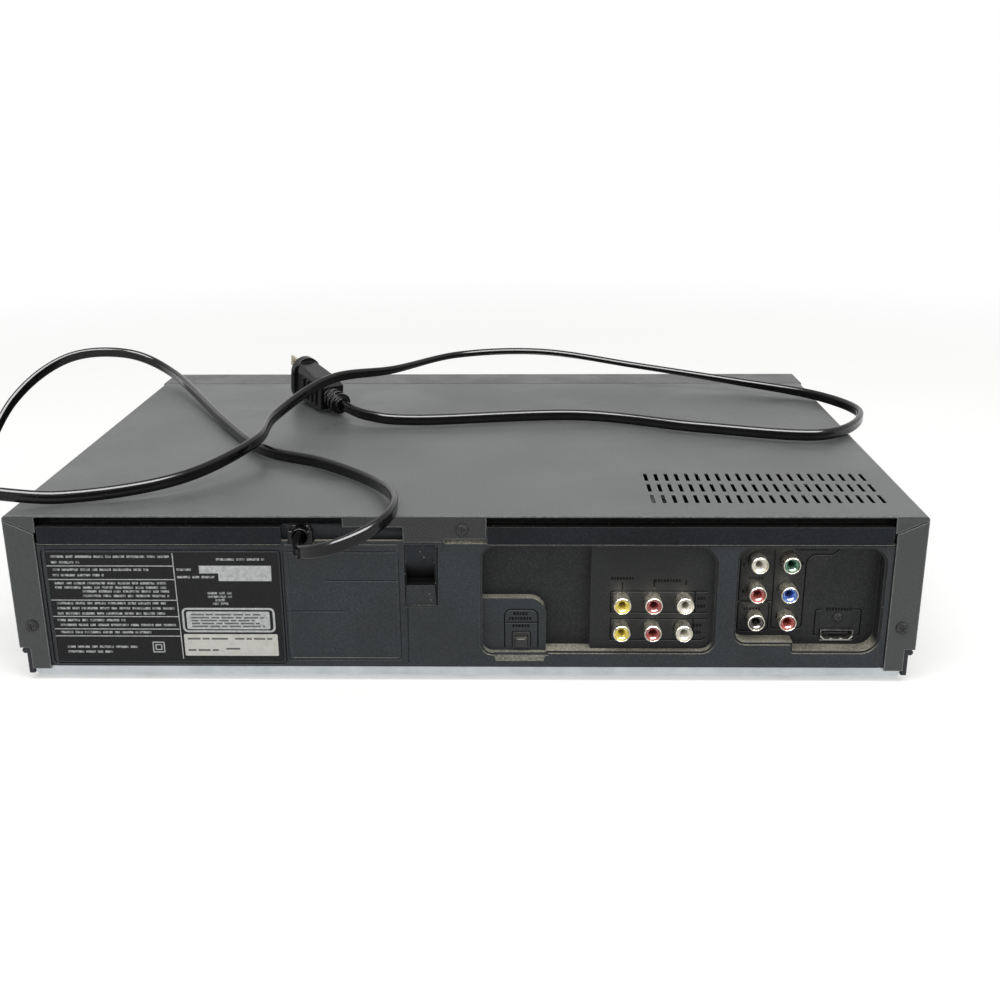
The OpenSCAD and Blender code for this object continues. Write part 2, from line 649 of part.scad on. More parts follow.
module screws() color("#8d9094") {
    both() translate([flange_screw[0], rear_y, flange_screw[1]]) rotate([-90, 0, 0]) pan_screw(8);
    translate([tongue_screw[0], rear_y, tongue_screw[1]]) rotate([-90, 0, 0]) pan_screw(6.4);
    translate([hdmi_screw[0], comp_plate_y, hdmi_screw[1]]) rotate([-90, 0, 0]) scale(0.8) pan_screw(7);
    for (p = bottom_screws) translate([p[0], p[1], plate_z]) rotate([180, 0, 0]) pan_screw(5.5);
}

// ---- sockets ----

// insulator of one jack: a rounded rim and a tapered mouth for the plug's pin
module liner(l) rotate_extrude() polygon([[1.6, 0], [liner_r, 0], [liner_r, l - 0.3], [liner_r - 0.3, l],
    [2.8, l], [2.2, l - 0.6], [1.6, l - 1.8]]);

module jack_blocks() color("#3b3c3e") {
    main_x = [main_jacks[0][0] - 7.2, main_jacks[2][0] + 7.2];
    span(main_x[0], main_x[1], main_block_y - block_l, main_block_y, board_top, main_jacks[0][1] + 6);
    for (k = [0, 3]) {
        x = comp_jacks[k][0];
        span(x - 6.8, x + 6.8, comp_block_y - block_l, comp_block_y, board_top, comp_jacks[0][1] + 6);
    }
    span(front_jacks[0][0] - 7, front_jacks[2][0] + 7, front_board_y - 4, front_board_y,
        front_jacks[0][1] - 7, front_jacks[0][1] + 6);
}

// a narrow neck through the panel, then the free barrel that a plug's ring slides over
module jack_sleeve(l, neck) rotate_extrude() polygon([[jack_r - jack_t, 0], [jack_r - neck_step, 0],
    [jack_r - neck_step, neck], [jack_r, neck], [jack_r, l - neck_step], [jack_r - neck_step, l],
    [jack_r - jack_t, l]]);

module jack_sleeves() color("#c9ccce") {
    for (p = main_jacks) translate([p[0], main_block_y, p[1]]) rotate([-90, 0, 0])
        jack_sleeve(main_tip_y - main_block_y, main_plate_y + neck_step - main_block_y);
    for (p = comp_jacks) translate([p[0], comp_block_y, p[1]]) rotate([-90, 0, 0])
        jack_sleeve(comp_tip_y - comp_block_y, comp_plate_y + neck_step - comp_block_y);
    for (p = front_jacks) translate([p[0], front_board_y - 4, p[1]]) rotate([90, 0, 0])
        jack_sleeve(front_board_y - 4 - front_y - 0.6, 2 * neck_step);
}

module jack_liners() {
    tints = ["yellow", "crimson", "white"];
    for (i = [0:5]) color(tints[2 - i % 3]) translate([main_jacks[i][0], main_block_y, main_jacks[i][1]])
        rotate([-90, 0, 0]) liner(main_tip_y - 0.6 - main_block_y);
    comp_tints = ["crimson", "royalblue", "green", "#222222", "crimson", "white"];
    for (i = [0:5]) color(comp_tints[i < 3 ? 2 - i : 8 - i]) translate([comp_jacks[i][0], comp_block_y, comp_jacks[i][1]])
        rotate([-90, 0, 0]) liner(comp_tip_y - 1 - comp_block_y);
    for (i = [0:2]) color(tints[i]) translate([front_jacks[i][0], front_board_y - 4, front_jacks[i][1]])
        rotate([90, 0, 0]) liner(front_board_y - 4 - front_y - 1.1);
}

// D-shaped outline of the flat multi-way plug, with slanted lower corners
module multi_way_outline(g) polygon([for (p = [[-7.5, 2.3], [-7.5, -0.4], [-5.6, -2.3], [5.6, -2.3], [7.5, -0.4],
    [7.5, 2.3]]) hdmi + [p[0] + sign(p[0]) * g, p[1] + sign(p[1]) * g]]);

// flat multi-way socket: a folded steel shell with sprung fingers round a thin tongue
module hdmi_socket() color("#b9bcbe") {
    y0 = comp_plate_y - 11.5;
    y1 = comp_plate_y + 1.2;
    along_y(y0, y1 - y0) difference() {
        multi_way_outline(0.4);
        multi_way_outline(0);
    }
    along_y(y0, 2) multi_way_outline(eps);
    span(hdmi[0] - 6, hdmi[0] + 6, y0, y1 - 2, hdmi[1] - 0.2, hdmi[1] + 0.7);
    for (s = [-1, 1]) {
        span(hdmi[0] + s * 2.4 - 0.6, hdmi[0] + s * 2.4 + 0.6, y1 - 5, y1 - 0.6, hdmi[1] - 2.3 - eps, hdmi[1] - 1.9);
        span(hdmi[0] + s * 4.6 - 0.6, hdmi[0] + s * 4.6 + 0.6, y0 + 1, y0 + 5, board_top, hdmi[1] - 2.3 - eps);
    }
}

shutter_axis = [main_plate_y + optical_out - 0.9, optical_z1 - 1.4];
shutter_hw = 2.9;
shutter_lip = 1.6;
shutter_z0 = optical_z0 + 1;

module optical_socket() color("#26272a") difference() {
    y1 = main_plate_y + optical_out;
    foot_y = panel_y - floor_d - panel_t - 1;
    union() {
        along_y(y1 - 14, 14) tile(optical[0] - optical_hw, optical_z0, optical[0] + optical_hw, optical_z1,
            [0.5, 0.5, 0.8, 0.8]);
        span(optical[0] - optical_hw, optical[0] + optical_hw, foot_y - 5, foot_y, board_top, optical[1]);
    }
    span(optical[0] - shutter_hw - 0.15, optical[0] + shutter_hw + 0.15, y1 - 8, y1 + 1, shutter_z0 - 0.5,
        shutter_axis[1] + 0.8);
    rod_x(optical[0] - 3.8, 7.6, shutter_axis[0], shutter_axis[1], 0.5 + run);
}

// flap on a pin at its top: a thin upper part and a thicker lower one with a sloped shoulder
module optical_shutter() color("#101113") {
    x0 = optical[0] - shutter_hw;
    along_x(x0, 2 * shutter_hw) translate(shutter_axis) polygon([[-0.4, 0.4], [0.4, 0.4], [0.4, -1],
        [shutter_lip, -1.4], [shutter_lip, shutter_z0 - shutter_axis[1]], [-0.4, shutter_z0 - shutter_axis[1]]]);
    rod_x(optical[0] - 3.7, 7.4, shutter_axis[0], shutter_axis[1], 0.5);
}

// ---- front ----

// the front panel's solid form, g inside its skin
module fascia_form(g) intersection() {
    along_x(-hw + g, body_w - 2 * g) tile(front_y + g, plate_z + g, fascia_y + g, top_z - g,
        [3 - g, 0, 0, front_r - g]);
    translate([0, 0, plate_z - 1]) linear_extrude(body_h + 2)
        tile(-hw + g, front_y + g, hw - g, fascia_y + g, [corner_r - g, corner_r - g, 0, 0]);
}

module mouth_outline(g) tile(mouth_x0 - g, mouth_z - g, mouth_x1 + g, mouth_z + mouth_h + g,
    [1, 1, 1, 1] + [g, g, g, g]);

module slot_outline(g) tile(dvd_x - slot_w / 2 - g, slot_z - g, dvd_x + slot_w / 2 + g, slot_z + slot_h + g,
    [1, 1, 1, 1] + [g, g, g, g]);

module window_outline(g) tile(window_x0 - g, window_z0 - g, window_x1 + g, window_z1 + g,
    [2, 2, 2, 2] + [g, g, g, g]);

module key_outline(k, g) {
    r = min(2, k[3] / 2 - 0.5);
    tile(k[0] - k[2] / 2 - g, k[1] - k[3] / 2 - g, k[0] + k[2] / 2 + g, k[1] + k[3] / 2 + g,
        [r + g, r + g, r + g, r + g]);
}

module front_fascia() color("#8f9396") difference() {
    union() {
        difference() {
            fascia_form(0);
            fascia_form(front_t);
        }
        // lip that slides under the cover
        span(-hw + 22, hw - 22, fascia_y - 6, fascia_y + 7, top_z - sheet - seat - 1.8, top_z - sheet - seat);
        // ears that hold the cassette door's pins
        for (x = [mouth_x0 - 3.2, mouth_x1 - 0.2])
            span(x, x + 3.4, inner_y - eps, door_axis[0] + 3.5, door_axis[1] - 4, top_z - front_t + eps);
        // stiffening ribs across the back
        for (x = [mouth_x1 + 6, dvd_x + slot_w / 2 + 4])
            span(x, x + 1.6, inner_y - eps, inner_y + 5, slot_z + slot_h + 4, top_z - front_t + eps);
    }
    // open underside behind the front edge
    span(-hw + front_t, hw - front_t, frame_y0 - seat - 0.2, fascia_y + 1, plate_z - 1, plate_z + front_t + 1);
    along_y(front_y - 1, front_t + 2) {
        mouth_outline(0);
        slot_outline(0);
        window_outline(0);
        for (k = all_keys) key_outline(k, 0.3);
        for (p = front_jacks) translate(p) circle(jack_r + 0.9);
    }
    along_y(front_y - 1, 1.5) mouth_outline(1.6);
    along_y(front_y - 1, 2.3) window_outline(2.2);
    for (x = [mouth_x0 - 3, mouth_x1 - 3]) rod_x(x, 6.2, door_axis[0], door_axis[1], pin_r + run);
    // shallow recess round the jacks, and the groove round the buttons
    along_y(front_y - 1, 1.6) tile(front_jacks[0][0] - 8, front_jacks[0][1] - 8, front_jacks[2][0] + 8,
        front_jacks[0][1] + 8, [4, 4, 4, 4]);
    along_y(front_y - 1, 1.5) tile(tape_keys[0][0] - 14, tape_keys[0][1] - 7, tape_keys[4][0] + 14,
        tape_keys[0][1] + 7, [3, 3, 3, 3]);
}

module display_window() color("#15181c") along_y(front_y, 1.3) window_outline(2);

// hinged flap of the cassette mouth, turning on two pins at its top
module cassette_door() color("#75797c") {
    x0 = mouth_x0 + 0.5;
    x1 = mouth_x1 - 0.5;
    along_y(door_y, door_t) tile(x0, mouth_z + 0.8, x1, mouth_z + mouth_h - 0.5, [0.8, 0.8, 0.8, 0.8]);
    for (z = [mouth_z + 8, mouth_z + 16]) span(x0 + 8, x1 - 8, door_y + door_t - eps, door_y + door_t + 1, z, z + 1);
    for (x = [x0, x1 - 3]) along_x(x, 3) {
        polygon([[door_y + door_t - eps, mouth_z + 22], [door_y + door_t + 2.5, mouth_z + 22],
            [door_axis[0] + 3, door_axis[1]], [door_axis[0] - 2.9, door_axis[1] - 0.5],
            [door_y + door_t - eps, mouth_z + mouth_h - 1.5]]);
        translate(door_axis) circle(3);
    }
    rod_x(x0 - 2.8, 2.9, door_axis[0], door_axis[1], pin_r);
    rod_x(x1 - 0.1, 2.9, door_axis[0], door_axis[1], pin_r);
}

// push button: cap, the collar that keeps it in, and the stem that meets its switch
module key(k) color("#b7babc") {
    difference() {
        along_y(front_y - button_out, button_out + front_t + seat + eps) key_outline(k, 0);
        rod_x(k[0] - k[2] / 2 + 2.2, k[2] - 4.4, front_y - button_out + hollow_d - hollow_r, k[1], hollow_r);
    }
    along_y(inner_y + seat, 1) key_outline(k, 1.2);
    rod_y(inner_y + seat, switch_tip_y - button_travel - switch_gap - inner_y - seat, k[0], k[1], 1.6);
}

switch_tip_y = front_board_y - 3.6;
module power_button() key(power_key);
module open_close_button() key(open_key);
module deck_select_button() key(deck_key);
module dvd_play_button() key(play_key);
module dvd_stop_button() key(stop_key);
module vcr_eject_button() key(tape_keys[0]);
module vcr_rewind_button() key(tape_keys[1]);
module vcr_play_button() key(tape_keys[2]);
module vcr_forward_button() key(tape_keys[3]);
module vcr_stop_button() key(tape_keys[4]);

// ---- boards ----

module front_board() {
    color("#3a5a34") along_y(front_board_y, board_t) {
        tile(-hw + 10, 9, hw - 10, 37);
        tile(power_key[0] - 9, 36, power_key[0] + 9, 66);
        tile(open_key[0] - 9, 36, open_key[0] + 10, 71);
    }
    color("#26282a") for (k = all_keys) {
        span(k[0] - 3, k[0] + 3, front_board_y - 3, front_board_y, k[1] - 3, k[1] + 3);
        rod_y(switch_tip_y, 0.6 + eps, k[0], k[1], 1.4);
    }
    color("#9fb4b0") span(window_x0 + 8, window_x1 - 8, front_board_y - 5, front_board_y, window_z0 + 1.5,
        window_z1 - 9.3);
}

module chip(x, y, w, d, h) color("#202224") span(x - w / 2, x + w / 2, y - d / 2, y + d / 2, board_top, board_top + h);

module board(bx, by) color("#3a5a34") span(bx[0], bx[1], by[0], by[1], board_z, board_top);

module can(x, y, r, h) color("#2b3550") rod_z(board_top, h, x, y, r);

module main_board() {
    board(main_board_x, main_board_y);
    chip(-hw + 60, main_board_y[0] + 16, 20, 20, 1.6);
    chip(-hw + 110, main_board_y[0] + 14, 14, 14, 1.4);
    chip(-hw + 150, main_board_y[0] + 16, 24, 10, 2);
    chip(main_board_x[1] - 10, main_board_y[0] + 9, 20, 6, 3);
    for (i = [0:3]) can(-hw + 172 + 9 * i, main_board_y[0] + 26, 3, 8);
    board(disc_board_x, disc_board_y);
    chip(dvd_x, disc_board_y[0] + 40, 26, 26, 2);
    chip(dvd_x + 36, disc_board_y[0] + 40, 12, 20, 1.4);
    chip(dvd_x - 34, disc_board_y[0] + 30, 10, 10, 1.4);
}

module power_board() {
    board(power_board_x, power_board_y);
    can(power_board_x[0] + 30, power_board_y[0] + 22, 9, 32);
    can(power_board_x[1] - 16, power_board_y[0] + 16, 5, 18);
    can(power_board_x[1] - 30, power_board_y[0] + 16, 5, 18);
    can(power_board_x[1] - 16, power_board_y[0] + 32, 4, 14);
    // finned heat sink
    color("#a9adb0") translate([power_board_x[0] + 66, power_board_y[0] + 14, board_top]) {
        cube([3, 40, 26]);
        for (i = [0:7]) translate([0, 1 + 5 * i, 0]) cube([12, 1.6, 26]);
    }
    // choke beside the cord's terminals
    color("#8a5a2b") translate([power_board_x[0] + 24, power_board_y[1] - 18, board_top]) rotate_extrude()
        translate([7, 4.5]) circle(4.4);
}

// ferrite core in two E halves round its winding
module power_transformer() {
    translate([power_board_x[0] + 104, power_board_y[0] + 34, board_top]) {
        color("#3c3d3f") difference() {
            translate([-17, -7, 3]) cube([34, 14, 28]);
            translate([-11, -8, 8]) cube([22, 16, 18]);
        }
        color("#c9a23f") translate([-10.7, -13, 8.3]) cube([21.4, 26, 17.4]);
        color("#202224") translate([-17, -13, 0]) cube([34, 26, 2.7]);
    }
}

// flat cables between the front board and the boards behind it
module ribbon_cables() color("#d8d8d2") {
    z = board_top + 3;
    span(2, 22, front_board_y + board_t, main_board_y[0] + 12, z, z + 0.4);
    span(2, 22, main_board_y[0] + 11.6, main_board_y[0] + 12, board_top + 3, z + eps);
}

// ---- cassette deck ----

// arc-shaped track for a tape guide, round the drum's centre
module guide_track(side, w) translate([vcr_x, drum_y]) difference() {
    a0 = side > 0 ? guide_a : 180 - guide_a - guide_turn;
    intersection() {
        circle(guide_r + w);
        polygon(concat([[0, 0]], [for (i = [0:8]) 2 * guide_r * [cos(a0 + i * guide_turn / 8),
            sin(a0 + i * guide_turn / 8)]]));
    }
    circle(guide_r - w);
}

function guide_at(side) = [vcr_x + side * guide_r * cos(guide_a), drum_y + guide_r * sin(guide_a)];

module deck_plate() color("#b4b7b3") difference() {
    union() {
        translate([0, 0, deck_z]) linear_extrude(deck_t) tile(vcr_x - deck_hw, deck_y0, vcr_x + deck_hw, deck_y1,
            [4, 4, 12, 12]);
        // side walls that carry the cassette holder
        for (x = [vcr_x - wall_in - wall_t, vcr_x + wall_in]) along_x(x, wall_t)
            tile(deck_y0, deck_top - eps, holder_y1 + holder_travel + 12, holder_z1 + 3, [0, 0, 8, 3]);
        for (s = [-1, 1]) rod_z(deck_top - eps, 15, vcr_x + s * reel_dx, reel_y, 1.5);
        rod_z(deck_z - 3.5, arm_z - seat - deck_z + 3.5, vcr_x + capstan_at[0], capstan_at[1], 4);
        rod_z(deck_top - eps, 9, vcr_x + pinch_pivot[0], pinch_pivot[1], 2);
        rod_z(deck_top - eps, 7.5, vcr_x + cam_at[0], cam_at[1], 2);
        // full erase head, control head and fixed posts along the tape's path
        span(vcr_x - 66, vcr_x - 58, drum_y - 32, drum_y - 22, deck_top - eps, deck_top + 24);
        span(vcr_x + 60, vcr_x + 68, drum_y - 4, drum_y + 4, deck_top - eps, deck_top + 24);
        for (p = [[-50, -38], [72, -38]]) rod_z(deck_top - eps, 26, vcr_x + p[0], drum_y + p[1], 2.4);
    }
    rod_z(deck_z - 5, 20, vcr_x + capstan_at[0], capstan_at[1], capstan_r + run);
    translate([0, 0, deck_z - 1]) linear_extrude(deck_t + 2) {
        for (s = [-1, 1]) {
            guide_track(s, 2.1);
            for (a = [0, guide_turn]) translate([vcr_x + s * guide_r * cos(guide_a + a),
                drum_y + guide_r * sin(guide_a + a)]) circle(2.7);
        }
        // stamped windows
        for (x = [-68, -34, 0, 34, 68]) for (y = [18, 52])
            tile(vcr_x + x - 12, deck_y0 + y - 12, vcr_x + x + 12, deck_y0 + y + 12, [3, 3, 3, 3]);
        translate([vcr_x + loading_at[0], loading_at[1]]) circle(3);
    }
    // tracks for the holder's pins: along, then down at the inner end
    for (p = holder_pins) along_x(vcr_x - wall_in - 4, 2 * wall_in + 8) {
        slot(p, p + [holder_travel, 0], holder_pin_r + run);
        slot(p + [holder_travel, 0], p + [holder_travel, -18], holder_pin_r + run);
    }
}

// sheet-metal basket that takes the cassette in
module cassette_holder() color("#a7aaa8") {
    difference() {
        along_y(holder_y0, holder_y1 - holder_y0) difference() {
            tile(vcr_x - holder_hw - holder_t, holder_z0, vcr_x + holder_hw + holder_t, holder_z1);
            tile(vcr_x - holder_hw, holder_z0 + holder_t, vcr_x + holder_hw, holder_z1 - holder_t);
        }
        // holes that let the reels in from below, and the sprung fingers in the roof
        for (s = [-1, 1]) rod_z(holder_z0 - 1, 3, vcr_x + s * reel_dx, reel_y - holder_travel, 21);
        rod_z(holder_z0 - 1, 3, vcr_x, reel_y - holder_travel + 20, 5);
        translate([0, 0, holder_z1 - 2]) linear_extrude(4) for (x = [-60, 0, 60]) difference() {
            tile(vcr_x + x - 15, holder_y0 + 20, vcr_x + x + 15, holder_y0 + 80, [2, 2, 2, 2]);
            tile(vcr_x + x - 12, holder_y0 + 19, vcr_x + x + 12, holder_y0 + 77);
        }
    }
    for (s = [-1, 1]) {
        for (p = holder_pins)
            rod_x(vcr_x + s * (holder_hw + holder_t + 1.5) - 1.55, 3.1, p[0], p[1], holder_pin_r);
        span(vcr_x + s * (holder_hw - 6) - 6, vcr_x + s * (holder_hw - 6) + 6, holder_y1 - holder_t, holder_y1,
            holder_z0 + holder_t - eps, holder_z0 + 8);
    }
}

// puts the drum's parts on its leaning axis
module drum_place() translate([vcr_x, drum_y, drum_base]) rotate([0, drum_lean, 0]) children();

module lower_drum() color("#c2c4c6") difference() {
    union() {
        drum_place() cylinder(r = drum_r, h = 17);
        rod_z(deck_top, 11, vcr_x, drum_y, drum_r - 9);
    }
    // the tape's edge guide, a shallow rising step, and the bore for the shaft
    drum_place() translate([0, 0, 9]) ring(drum_r + 2, drum_r - 0.4, 9);
    drum_place() translate([0, 0, -12]) cylinder(r = 3 + run, h = 40);
}

module head_drum() color("#d0d2d4") drum_place() {
    translate([0, 0, 17 + seat]) difference() {
        cylinder(r = drum_r, h = 16);
        translate([0, 0, 13]) cylinder(r = drum_r - 5, h = 4);
        for (a = [0, 180]) rotate(a) translate([drum_r - 3, -1.5, -1]) cube([4, 3, 2.5]);
        for (a = [60:120:300]) rotate(a) translate([15, 0, 9]) cylinder(r = 3.5, h = 6);
    }
    translate([0, 0, 1]) cylinder(r = 3, h = 35);
}

module reel() difference() {
    union() {
        cylinder(r = 19, h = 2.6);
        cylinder(r = 9, h = 7);
        cylinder(r = 4.6, h = 14.2);
        for (a = [0:120:240]) rotate(a) translate([3, -1, 5]) cube([4.4, 2, 8]);
    }
    translate([0, 0, -1]) cylinder(r = 1.5 + run, h = 17);
    for (a = [0:30:330]) rotate(a) translate([14.5, 0, -1]) cylinder(r = 2, h = 5);
}

module supply_reel() color("#3d3f42") translate([vcr_x - reel_dx, reel_y, deck_top + seat]) reel();

module take_up_reel() color("#3d3f42") translate([vcr_x + reel_dx, reel_y, deck_top + seat]) reel();

// shaft with its flywheel, in the bearing of the deck plate
module capstan() color("#bfc1c3") translate([vcr_x + capstan_at[0], capstan_at[1], 0]) {
    translate([0, 0, board_z]) cylinder(r = capstan_r, h = deck_top + 28 - board_z);
    translate([0, 0, deck_z - 9]) difference() {
        cylinder(r = flywheel_r, h = 5);
        translate([0, 0, -1]) ring(flywheel_r - 3, 8, 3.5);
    }
}

module capstan_motor() translate([vcr_x + capstan_at[0], capstan_at[1], 0]) {
    color("#3a5a34") translate([0, 0, floor_top]) difference() {
        translate([-26, -26, 0]) cube([52, 52, 1.6]);
        translate([0, 0, -1]) cylinder(r = 5, h = 4);
    }
    color("#b06a2c") for (a = [0:60:300]) rotate(a) translate([15, 0, floor_top + 1.6]) ring(5.6, 2.4, 2.4);
}

module pinch_arm() color("#8f9294") {
    difference() {
        union() {
            translate([vcr_x, 0, arm_z]) linear_extrude(2.4) {
                slot(pinch_pivot, pinch_rest, 3.4);
                slot(pinch_pivot, pinch_pivot + [9, 9], 2.4);
            }
            rod_z(deck_top + seat, 8, vcr_x + pinch_pivot[0], pinch_pivot[1], 4);
            rod_z(arm_z + 0.1, 19, vcr_x + pinch_rest[0], pinch_rest[1], 1.2);
        }
        rod_z(deck_top - 1, 12, vcr_x + pinch_pivot[0], pinch_pivot[1], 2 + run);
    }
}

module pinch_roller() color("#1e1e1e") translate([vcr_x + pinch_rest[0], pinch_rest[1], arm_z + 2.7])
    difference() {
        cylinder(r = roller_r, h = 15);
        translate([0, 0, -1]) cylinder(r = 1.2 + run, h = 17);
    }

// roller post on a base that runs in its arc-shaped track
module guide(side) color("#9c9fa1") translate([guide_at(side)[0], guide_at(side)[1], 0]) {
    translate([0, 0, deck_top + seat]) cylinder(r = 5, h = 3);
    translate([0, 0, deck_z - 1.6]) cylinder(r = 2, h = deck_t + seat + 2);
    translate([0, 0, deck_z - 2.8]) cylinder(r = 3.6, h = 2.5);
    translate([0, 0, deck_top + 3]) cylinder(r = 1.4, h = 24);
    translate([0, 0, deck_top + 6]) cylinder(r = 3, h = 17);
}

module supply_guide() guide(-1);

module take_up_guide() guide(1);

module cam_gear() color("#e4e4de") translate([vcr_x + cam_at[0], cam_at[1], cam_z]) difference() {
    union() {
        linear_extrude(3) gear_outline(cam_teeth);
        cylinder(r = 9, h = 5);
        cylinder(r = 4, h = 6);
    }
    translate([0, 0, -1]) cylinder(r = 2 + run, h = 9);
    // cam track
    translate([0, 0, 3.4]) intersection() {
        ring(8, 5.6, 3);
        translate([-10, -1, 0]) cube([20, 12, 3]);
    }
}

module loading_pinion() color("#e4e4de") translate([vcr_x + loading_at[0], loading_at[1], 0]) difference() {
    translate([0, 0, cam_z - 0.2]) linear_extrude(4) rotate(180 / loading_teeth) gear_outline(loading_teeth);
    translate([0, 0, cam_z - 2]) cylinder(r = 1 + run, h = 8);
}

module loading_motor() color("#a9acae") translate([vcr_x + loading_at[0], loading_at[1], 0]) {
    translate([0, 0, floor_top + 1]) cylinder(r = 9, h = deck_z - seat - floor_top - 1);
    translate([0, 0, floor_top]) cylinder(r = 3, h = 1.5);
    cylinder_top = cam_z + 3.4;
    translate([0, 0, deck_z - 1]) cylinder(r = 1, h = cylinder_top - deck_z + 1);
}

// ---- disc loader, measured from the middle of the tray ----

module loader_place() translate([dvd_x, 0, 0]) children();

module loader_frame() color("#2f3133") loader_place() difference() {
    l = loader_y1 - loader_y0;
    inner = loader_hw - loader_t;
    union() {
        both() {
            span(inner, loader_hw, loader_y0, loader_y1, loader_z, bridge_z + 4);
            // ledge under the tray's edge and the tabs over it
            span(tray_w / 2 - 4, inner + eps, loader_y0, loader_y0 + l - 10, tray_z - 2.3, tray_z - seat);
            for (y = [loader_y0, loader_y0 + 130]) span(tray_w / 2 - 2, inner + eps, y, y + 34,
                tray_top + seat, tray_top + 2.3);
            for (y = [loader_y0 + 16, loader_y0 + 176]) span(inner - 9, inner + eps, y - 5, y + 5, loader_z,
                loader_z + 2.5);
            // bearing lugs of the traverse
            span(traverse_hw + 4, inner + eps, hinge_y - 4, hinge_y + 4, hinge_z - 4, hinge_z + 4);
            for (y = [loader_y0 + 60, loader_y0 + 100])
                span(inner - 2.5, inner + eps, y, y + 1.6, loader_z, tray_z - 2.2);
        }
        span(-inner - eps, inner + eps, loader_y0, loader_y0 + 24, loader_z + 2, loader_z + 5);
        span(-inner - eps, inner + eps, loader_y1 - 2.5, loader_y1, loader_z, tray_top);
        // bridge that holds the clamper
        span(-inner - eps, inner + eps, disc_y - 19, disc_y + 19, bridge_z, bridge_z + 2);
        for (y = [disc_y - 19, disc_y + 17]) span(-inner - eps, inner + eps, y, y + 2, bridge_z, bridge_z + 4);
        rod_z(loader_z + 4, gear_z + 3.4 - loader_z - 4, gear_x, gear_y, 2);
    }
    rod_z(bridge_z - 1, 6, 0, disc_y, 15);
    both() rod_x(traverse_hw + 3, 8, hinge_y, hinge_z, 2.5 + run);
    rod_z(loader_z, 8, motor_x, gear_y, 2);
}

// tray with stepped wells for both sizes of disc and the slot over the turntable
module disc_tray() color("#2b2d30") loader_place() {
    difference() {
        translate([0, 0, tray_z]) linear_extrude(tray_t)
            tile(-tray_w / 2, inner_y, tray_w / 2, tray_y1, [0, 0, 4, 4]);
        rod_z(well_z, 10, 0, disc_y, disc_r + 0.5);
        rod_z(well_z - 1.2, 10, 0, disc_y, 41);
        rod_z(tray_z - 1, 10, 0, disc_y, slot_hw);
        span(-slot_hw, slot_hw, disc_y, tray_y1 + 1, tray_z - 1, tray_top + 1);
        // finger hollows beside the disc
        both() translate([disc_r, disc_y, well_z - 1.2]) cylinder(r = 8, h = 10);
        // hollow underside
        both() translate([0, 0, tray_z - 1]) linear_extrude(2.2) {
            tile(slot_hw + 3, tray_y1 - 70, tray_w / 2 - 16, tray_y1 - 4, [2, 2, 2, 2]);
            tile(4, inner_y + 3, tray_w / 2 - 16, disc_y - slot_hw - 8, [2, 2, 2, 2]);
        }
    }
    translate([0, 0, tray_z - rack_h]) linear_extrude(rack_h + eps) tray_rack();
}

// straight rack that faces +X; one tooth lies level with the gear at rest
module tray_rack() {
    first = -3;
    last = ceil(tray_travel / PI);
    half = PI / 4 - 0.08;
    slope = tan(20);
    polygon(concat([[rack_x - 5, gear_y + first * PI - half - 1]],
        [for (i = [first:last]) for (p = [[-1.1, -half - 1.1 * slope], [0.85, -half + 0.85 * slope],
            [0.85, half - 0.85 * slope], [-1.1, half + 1.1 * slope]])
            [rack_x + p[0], gear_y + i * PI + p[1]]],
        [[rack_x - 5, gear_y + last * PI + half + 1]]));
}

module tray_front() color("#8f9396") loader_place()
    along_y(front_y, front_t) tile(-slot_w / 2 + 0.4, slot_z + 0.4, slot_w / 2 - 0.4, slot_z + slot_h - 0.4,
        [0.8, 0.8, 0.8, 0.8]);

module groove_pulley(r, h) rotate_extrude() polygon([[0, 0], [r, 0], [r - 1.4, h / 2 - 0.3],
    [r - 1.4, h / 2 + 0.3], [r, h], [0, h]]);

module tray_gear() color("#e4e4de") loader_place() translate([gear_x, gear_y, 0]) difference() {
    union() {
        translate([0, 0, gear_z]) linear_extrude(3.4) rotate(180 / tray_teeth) gear_outline(tray_teeth);
        translate([0, 0, pulley_z]) groove_pulley(pulley_r, 4);
        translate([0, 0, pulley_z]) cylinder(r = 5, h = gear_z - pulley_z + eps);
    }
    translate([0, 0, pulley_z - 1]) cylinder(r = 2 + run, h = 20);
}

module motor_pulley() color("#e4e4de") loader_place() translate([motor_x, gear_y, pulley_z]) difference() {
    groove_pulley(motor_pulley_r + 1, 4);
    translate([0, 0, -1]) cylinder(r = 1 + run, h = 7);
}

module tray_belt() color("#1a1a1a") loader_place() {
    r1 = pulley_r - 1.4 + seat;
    r2 = motor_pulley_r + 1 - 1.4 + seat;
    translate([0, gear_y, pulley_z + 1.6]) linear_extrude(0.8) difference() {
        belt_outline(r1 + 0.8, r2 + 0.8);
        belt_outline(r1, r2);
    }
}

module belt_outline(r1, r2) hull() {
    translate([gear_x, 0]) circle(r1);
    translate([motor_x, 0]) circle(r2);
}

module tray_motor() color("#a9acae") loader_place() translate([motor_x, gear_y, 0]) {
    translate([0, 0, loader_z - 13]) cylinder(r = 10.5, h = 15 - seat);
    translate([0, 0, loader_z]) cylinder(r = 1, h = pulley_z + 5 - loader_z);
}

